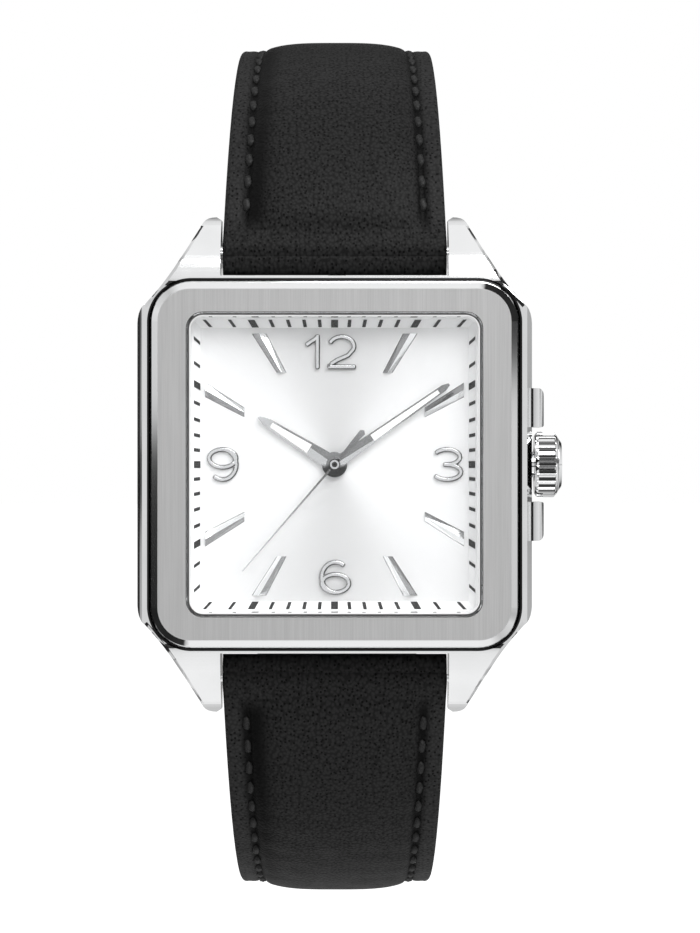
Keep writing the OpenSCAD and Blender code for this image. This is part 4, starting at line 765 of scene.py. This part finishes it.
def top_leather(half):
    """Closed loft: for each station, up the left edge, over the top and down, with round
    shoulders of radius e, then back underneath."""
    length = halves[half][1]
    s = strap_rows(half)[:, None]
    w = half_width(s, half)
    low, fold = 0.8 - under(s), -arch(s, fold_reach, fold_top)
    low = np.where(s < 0, fold, np.where(s < fold_reach, np.minimum(low, fold), low))
    if half == "upper":     # its end fits the buckle, and loops round the buckle's bar
        w = np.where(s > length - 1.2, np.minimum(w, 8.85), w)
        loop = -arch(s - length, loop_r, loop_r)
        low = np.where(s > length, loop,
                       np.where(s > length - loop_r, np.minimum(low, loop), low))
    e = 0.42 * np.clip(w / 4, 0, 1)
    t = np.linspace(-1, 1, 84)[None, :]
    x_top = t * (w - e)
    h_top = top_height(x_top, s, w, half)
    h_edge = h_top[:, :1]
    e = np.minimum(e, np.clip((h_edge - low) * 0.45, 0, None))
    phi = quarter(6)[None, 1:-1]
    wall = (h_edge - e) + (low - h_edge + e) * np.linspace(0, 1, 4)[None, :]
    edge_x = np.concatenate([w - e + e * np.sin(phi), w + 0 * wall], 1)
    edge_h = np.concatenate([h_edge - e + e * np.cos(phi), wall], 1)
    back = np.linspace(1, -1, 9)[None, 1:-1] * w
    x = np.concatenate([-edge_x[:, ::-1], x_top, edge_x, back], 1)
    h = np.concatenate([edge_h[:, ::-1], h_top, edge_h, low + 0 * back], 1)
    around = girth(x, h)
    middle = edge_x.shape[1] + t.shape[1] // 2
    uv = np.stack([around - around[:, middle:middle + 1], s + 0 * around], -1) * mm
    on_top = (h > h_edge - 0.5) * ease(1.0, 3.0, s)
    in_channel = np.abs(x) - (w - thread_in)
    # Painted shade: seam_shade darkens the seam channel, and the padded crown's left flank far more
    # than its right, as the light falls from the right.
    slope = bell(in_channel, -1.0, 1.0) * np.where(x < 0, 0.95, 0.1) * padded(s)
    shades = {"seam_shade": on_top * np.maximum(bell(in_channel, 0, 0.5), slope),
              "margin_wear": on_top * ease(-0.3, 0.5, in_channel)}
    return to_space(x, h, s, half), uv, shades


def lining_leather(half):
    """Closed loft of the flat lining, 0.8 mm thick, with rounded lower corners."""
    length = halves[half][1]
    end = np.array([length - 5.0])
    if half == "lower":
        end = length - tip_len + tip_len * np.sin(quarter(24))
    s = np.concatenate([np.arange(3.0, end[0], 0.6), end])[:, None]
    w = half_width(s, half)
    b = -under(s)
    phi = quarter(5)[None, ::-1]
    e = 0.3 * np.clip(w / 4, 0.1, 1)
    cx, ch = w - e + e * np.sin(phi), b + e - e * np.cos(phi)
    t = np.linspace(1, -1, 34)[None, 1:-1] * (w - e)
    seam = 0.1 * bell(np.abs(t), w - thread_in, 0.3)
    x = np.concatenate([w, cx, t, -cx[:, ::-1], -w], 1)
    h = np.concatenate([b + 0.79, ch, b + seam, ch[:, ::-1], b + 0.79], 1)
    around = girth(x, h)
    return to_space(x, h, s, half), np.stack([around, s + 0 * around], -1) * mm, {}


def shell(name, points, material, uv, sharp, ring=False, shades=None):
    """Smooth object through closed rows of points: a ring of them, or capped at both ends."""
    rows, cols = points.shape[:2]
    a, b = np.meshgrid(np.arange(rows - (not ring)), np.arange(cols), indexing="ij")
    c, d = (a + 1) % rows, (b + 1) % cols
    quads = np.stack([a * cols + b, c * cols + b, c * cols + d, a * cols + d], -1)
    faces = quads.reshape(-1, 4).tolist()
    if not ring:
        faces += [list(range(cols)), list(range(rows * cols - 1, (rows - 1) * cols - 1, -1))]
    mesh = bpy.data.meshes.new(name)
    mesh.from_pydata(points.reshape(-1, 3).tolist(), [], faces)
    corner = np.stack([uv[a, b], uv[a + 1, b], uv[a + 1, b + 1], uv[a, b + 1]], 2).reshape(-1, 2)
    caps = np.zeros((len(mesh.loops) - len(corner), 2))
    mesh.uv_layers.new(name="surface").data.foreach_set(
        "uv", np.concatenate([corner, caps]).ravel())
    mesh.shade_smooth()
    mesh.set_sharp_from_angle(angle=math.radians(sharp))
    for key, value in (shades or {}).items():
        mesh.attributes.new(key, "FLOAT", "POINT").data.foreach_set(
            "value", value.astype(np.float32).ravel())
    mesh.materials.append(material)
    return placed(name, mesh)


leather, given, taken = new_effect(
    "calf_grain", [("Pebble", NUMBER, 1500.0), ("Creasing", NUMBER, 1.0)],
    [("Height", NUMBER), ("Valleys", NUMBER), ("Polish", NUMBER), ("Pores", NUMBER)])
wander = put(leather, "ShaderNodeTexNoise", i0=given["Vector"], Scale=420.0, Detail=2.0).outputs
pushed = put(leather, "ShaderNodeVectorMath", {"operation": "MULTIPLY_ADD"},
             i0=wander["Color"], i1=(0.0007, 0.0007, 0.0), i2=given["Vector"]).outputs[0]
pebbles = put(leather, "ShaderNodeTexVoronoi",
              {"feature": "SMOOTH_F1", "voronoi_dimensions": "2D"}, i0=pushed,
              Scale=given["Pebble"], Smoothness=0.35).outputs["Distance"]
dots = put(leather, "ShaderNodeTexVoronoi", {"voronoi_dimensions": "2D"}, i0=given["Vector"],
           Scale=2300.0).outputs
chosen = put(leather, "ShaderNodeSeparateColor", i0=dots["Color"]).outputs[0]
pore = product(leather, calc(leather, "LESS_THAN", dots["Distance"], 0.24),
               calc(leather, "GREATER_THAN", chosen, 0.5))
domes = calc(leather, "SUBTRACT", calc(leather, "SUBTRACT", 1.0, pebbles),
             product(leather, pore, 0.8))
wrinkle = put(leather, "ShaderNodeTexNoise", {"noise_dimensions": "2D"},
              i0=vector(leather, "MULTIPLY", pushed, (170.0, 760.0, 1.0)), Scale=1.0,
              Detail=3.0, Roughness=0.55).outputs["Fac"]
folds = calc(leather, "ABSOLUTE", calc(leather, "SUBTRACT", wrinkle, 0.5))
folded = calc(leather, "SUBTRACT", 0.12, folds, clamp=True)
creases = product(leather, folded, 7.0, given["Creasing"], 0.7)
feed(leather, taken, Height=calc(leather, "SUBTRACT", domes, creases), Valleys=pebbles,
     Polish=wander["Fac"], Pores=pore)


def hide(name, low, high, rough, pebble, creasing, strength):
    """Leather on a piece's own UV map, in metres across and along."""
    made, tree, shader, at = finish(name, high, 0.0, rough, Specular_IOR_Level=0.1)
    along = put(tree, "ShaderNodeUVMap", {"uv_map": "surface"}).outputs[0]
    skin = use(tree, leather, Vector=along, Pebble=pebble, Creasing=creasing)
    # seam_shade is painted shade; the pores are the grain's own dark dots.
    worn, pores_and_painted_shade = (put(tree, "ShaderNodeAttribute", {"attribute_name": key}).outputs["Fac"]
                  for key in ("margin_wear", "seam_shade"))
    grained = ramp(tree, skin["Valleys"], (0.25, high), (0.6, low))
    rubbed = mix(tree, worn, grained, grey(0.006), "ADD")
    pores_and_painted_shade = calc(tree, "MAXIMUM", pores_and_painted_shade, skin["Pores"])
    feed(tree, shader, Base_Color=mix(tree, pores_and_painted_shade, rubbed, grey(0.0005)),
         Roughness=calc(tree, "MULTIPLY_ADD", skin["Polish"], 0.22, rough - 0.1),
         Normal=bump(tree, skin["Height"], strength, 6e-5))
    return made


black_calf = hide("black_calf", (0.008, 0.008, 0.008), (0.018, 0.018, 0.018), 0.5, 3000.0,
                  0.05, 0.7)
lining_calf = hide("lining_calf", (0.05, 0.045, 0.04), (0.1, 0.09, 0.08), 0.6, 2200.0, 0.4, 0.3)


def punched(half, s, radius, across=14, out=0):
    """A round cutter for a bar across a half, or for a hole through it: ends and radius."""
    return to_space(-across, -out, s, half), to_space(across, out, s, half), radius * mm


def bore(piece, cutters):
    """Cuts round holes, each a prism of 40 sides, whose first corner is set by a skew line."""
    rings, faces, sides, skew = [], [], 40, [0.31, 0.87, 0.39]
    turn = np.linspace(0, 2 * np.pi, sides + 1)[:-1, None]
    k = np.arange(sides)
    n = (k + 1) % sides
    for p, q, radius in cutters:
        axis = (q - p) / np.linalg.norm(q - p)
        u = np.cross(axis, skew)
        u /= np.linalg.norm(u)
        ring = radius * (np.cos(turn) * u + np.sin(turn) * np.cross(axis, u))
        base = len(rings) * sides
        rings += [p + ring, q + ring]
        faces += (base + np.stack([k, n, n + sides, k + sides], 1)).tolist()
        faces += [(base + k[::-1]).tolist(), (base + sides + k).tolist()]
    mesh = bpy.data.meshes.new("punch")
    mesh.from_pydata(np.concatenate(rings).tolist(), [], faces)
    punch = placed("punch", mesh)
    cut = piece.modifiers.new("holes", "BOOLEAN")
    cut.operation, cut.solver, cut.object = "DIFFERENCE", "EXACT", punch
    bpy.context.view_layer.update()
    shaped = piece.evaluated_get(bpy.context.evaluated_depsgraph_get())
    baked = bpy.data.meshes.new_from_object(shaped)
    piece.modifiers.clear()
    old, piece.data = piece.data, baked
    bpy.data.meshes.remove(old)
    bpy.data.objects.remove(punch)


pieces = {}
for half in halves:
    turned = -1 if half == "upper" else 1
    for key, name, made_of, hide_used, sharp in (
            (half, f"{half}_leather", top_leather, black_calf, 55),
            (half + "_lining", f"{half}_lining", lining_leather, lining_calf, 50)):
        points, uv, shades = made_of(half)
        shades = {shade: value[:, ::turned] for shade, value in shades.items()}
        pieces[key] = shell(name, points[:, ::turned], hide_used, uv[:, ::turned], sharp,
                            shades=shades)
tip_distance, pitch = 14, 6.5
holes = [punched("lower", halves["lower"][1] - tip_distance - pitch * k, 1.0, 0, 4)
         for k in range(7)]
bore(pieces["upper"], [punched("upper", 0, 0.95), punched("upper", halves["upper"][1], 0.85)])
bore(pieces["lower"], [punched("lower", 0, 0.95)] + holes)
bore(pieces["lower_lining"], holes)
for half in halves:
    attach(pieces[half], f"strap_{half}")
    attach(pieces[half + "_lining"], f"strap_{half}")
    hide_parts(f"strap_{half}")
    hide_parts(f"strap_{half}_lining")


# SEAMS
# A lock stitch of waxed black thread, ten to the inch, sits in a channel along both margins
# and round the tip, on the outside and on the lining alike.
thread = speckled("waxed_thread", (0.006, 0.006, 0.006), 0.5, 9000.0, 0.003, 0.024,
                  relief=(0.4, 2e-5), Specular_IOR_Level=0.25)


def seam_path(half):
    """Centres and directions of the stitches on a half, in flat (across, along) millimetres:
    the outline moved in by the margin and stepped at the stitch pitch."""
    length = halves[half][1]
    if half == "lower":
        s = np.concatenate([np.linspace(2.9, length - tip_len, 400),
                            length - tip_len + tip_len * np.sin(quarter(200))])
        line = np.stack([half_width(s, half), s], 1)
        step = np.gradient(line, axis=0)
        step /= np.linalg.norm(step, axis=1, keepdims=True)
        inner = line + thread_in * np.stack([-step[:, 1], step[:, 0]], 1)
        inner = inner[(inner[:, 0] > 0) & (inner[:, 1] < length - thread_in + 0.05)]
        inner = inner[np.concatenate([[True], np.diff(inner[:, 1]) > 0])]
        lines = [np.concatenate([inner, inner[::-1] * [-1, 1]])]
    else:
        s = np.linspace(2.9, length - 5.6, 400)
        w = half_width(s, half) - thread_in
        lines = [np.stack([w, s], 1), np.stack([-w, s], 1)]
    centres, ways, stitch = [], [], 2.4
    for line in lines:
        run = girth(*line.T)[:-1]
        count = int(run[-1] / stitch)
        at_run = (np.arange(count) + 0.5) * run[-1] / count
        here, ahead, before = (np.stack([np.interp(at_run + far, run, row) for row in line.T], 1)
                               for far in (0, 0.2, -0.2))
        centres.append(here)
        way = ahead - before
        ways.append(way / np.linalg.norm(way, axis=1, keepdims=True))
    return np.concatenate(centres), np.concatenate(ways)


def stitches(name, half, inside):
    """Each stitch is a short two-ply cord: a tube along u whose round section swells by
    cos(2v - 5u), and whose ends dive into the leather by u^4."""
    length, way_up = halves[half][1:]
    c, d = seam_path(half)
    if inside and half == "upper":
        keep = c[:, 1] < length - 6
        c, d = c[keep], d[keep]
    u = np.linspace(-1, 1, 9)[None, :, None]
    v = np.linspace(0, 2 * np.pi, 9)[None, None, :-1]
    cx, cs, dx, ds = (k[:, None, None] for k in (*c.T, *d.T))
    cord, reach = 0.4, 0.76
    size = cord * np.sqrt(np.clip(1 - np.abs(u) ** 5, 0.02, 1)) * (1 + 0.17 * np.cos(2 * v - 5 * u))
    side = size * np.cos(v)
    x = cx + reach * u * dx - side * ds
    s = cs + reach * u * ds + side * dx
    dive, thick = 0.3 * u ** 4, 0.8 * size * np.sin(v)
    if inside:
        h = -under(cs) + 0.02 + dive + thick
    else:
        h = top_height(cx, cs, half_width(cs, half), half) + 0.08 - dive + thick
    grid = to_space(x, h, s, half)
    count, rows, cols = grid.shape[:3]
    k = np.arange(count)[:, None, None] * rows * cols
    a, b = np.meshgrid(np.arange(rows - 1), np.arange(cols), indexing="ij")
    n = (b + 1) % cols
    quads = np.stack([a * cols + b, a * cols + n, (a + 1) * cols + n, (a + 1) * cols + b], -1)
    end = np.arange(cols)
    ends = np.stack([end[::-1], end + (rows - 1) * cols])
    if way_up < 0:
        quads, ends = quads[..., ::-1], ends[:, ::-1]
    faces = (k + quads.reshape(1, -1, 4)).reshape(-1, 4).tolist()
    faces += (k + ends[None]).reshape(-1, cols).tolist()
    mesh = bpy.data.meshes.new(name)
    mesh.from_pydata(grid.reshape(-1, 3).tolist(), [], faces)
    mesh.shade_smooth()
    mesh.materials.append(thread)
    made = placed(name, mesh)
    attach(made, f"strap_{half}")


for half in halves:
    stitches(f"{half}_seams", half, False)
    stitches(f"{half}_lining_seams", half, True)


# KEEPERS
# Two closed loops of the same calf on the buckle half: the one by the buckle is sewn in, the
# other slides. Each is 5 mm wide with a crease line near both edges.
def keeper(name, node, body, mid, gap):
    """Profile carried round a rounded rectangle: the path turns in the plane across the strap,
    and the profile, a flat rounded bar, spans the keeper's width."""
    wall, wide, corner, play, other_half = 0.9, 5.0, 0.95, 0.3, 2.0
    z0 = -under(mid) - gap
    z1 = margin_height(mid) + 0.25 + play + other_half
    hx, hz = half_width(mid, "upper") + play + wall / 2, (z1 - z0) / 2 + wall / 2
    path, normal = [], []
    for k, (sx, sz) in enumerate(((1, 1), (-1, 1), (-1, -1), (1, -1))):
        turn = quarter(9) + k * np.pi / 2
        n = np.stack([np.cos(turn), np.sin(turn)], 1)
        path.append([sx * (hx - corner), sz * (hz - corner)] + corner * n)
        normal.append(n)
    path, normal = np.concatenate(path), np.concatenate(normal)
    side, norm = [], []
    for p, q, n, m in zip(path, np.roll(path, -1, 0), normal, np.roll(normal, -1, 0)):
        count = 12 if np.linalg.norm(q - p) > 1.5 else 1
        f = np.arange(count)[:, None] / count
        side.append(p + (q - p) * f)
        norm.append(n + (m - n) * f)
    side, norm = np.concatenate(side), np.concatenate(norm)
    norm /= np.linalg.norm(norm, axis=1, keepdims=True)
    v = np.linspace(-1, 1, 31)
    from_edge = (1 - np.abs(v)) * wide / 2
    groove = 0.07 * bell(from_edge, 0.7, 0.13)
    drop = 1 - np.sqrt(1 - np.clip(1 - from_edge / 0.3, 0, 1) ** 2)
    off = np.concatenate([wall / 2 - groove - 0.28 * drop, (-wall / 2 + 0.2 * drop)[::-1]])
    span = np.concatenate([v, v[::-1]]) * wide / 2
    x = side[:, :1] + norm[:, :1] * off
    h = side[:, 1:] + norm[:, 1:] * off + (z0 + z1) / 2
    points = to_space(x, h, mid + span + 0 * x, "upper")
    uv = np.stack(np.meshgrid(girth(*side.T), girth(span, off), indexing="ij"), -1) * mm
    made = shell(name, points, black_calf, uv, 60, ring=True)
    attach(made, body)
    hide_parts(node)


keeper("fixed_keeper_leather", "fixed_keeper", "strap_upper", 66.3, 0.02)
keeper("sliding_keeper_leather", "sliding_keeper", "sliding_keeper", 58.2, 0.3)


# BUCKLE
# Polished steel frame and tongue, turning on a spring bar through the strap's sewn end.
buckle_steel = polished("buckle_polish", (0.8, 0.805, 0.81), 0.08, 0.08, 0.05)[0]
dress(buckle_steel, "buckle_frame", "buckle_tongue")
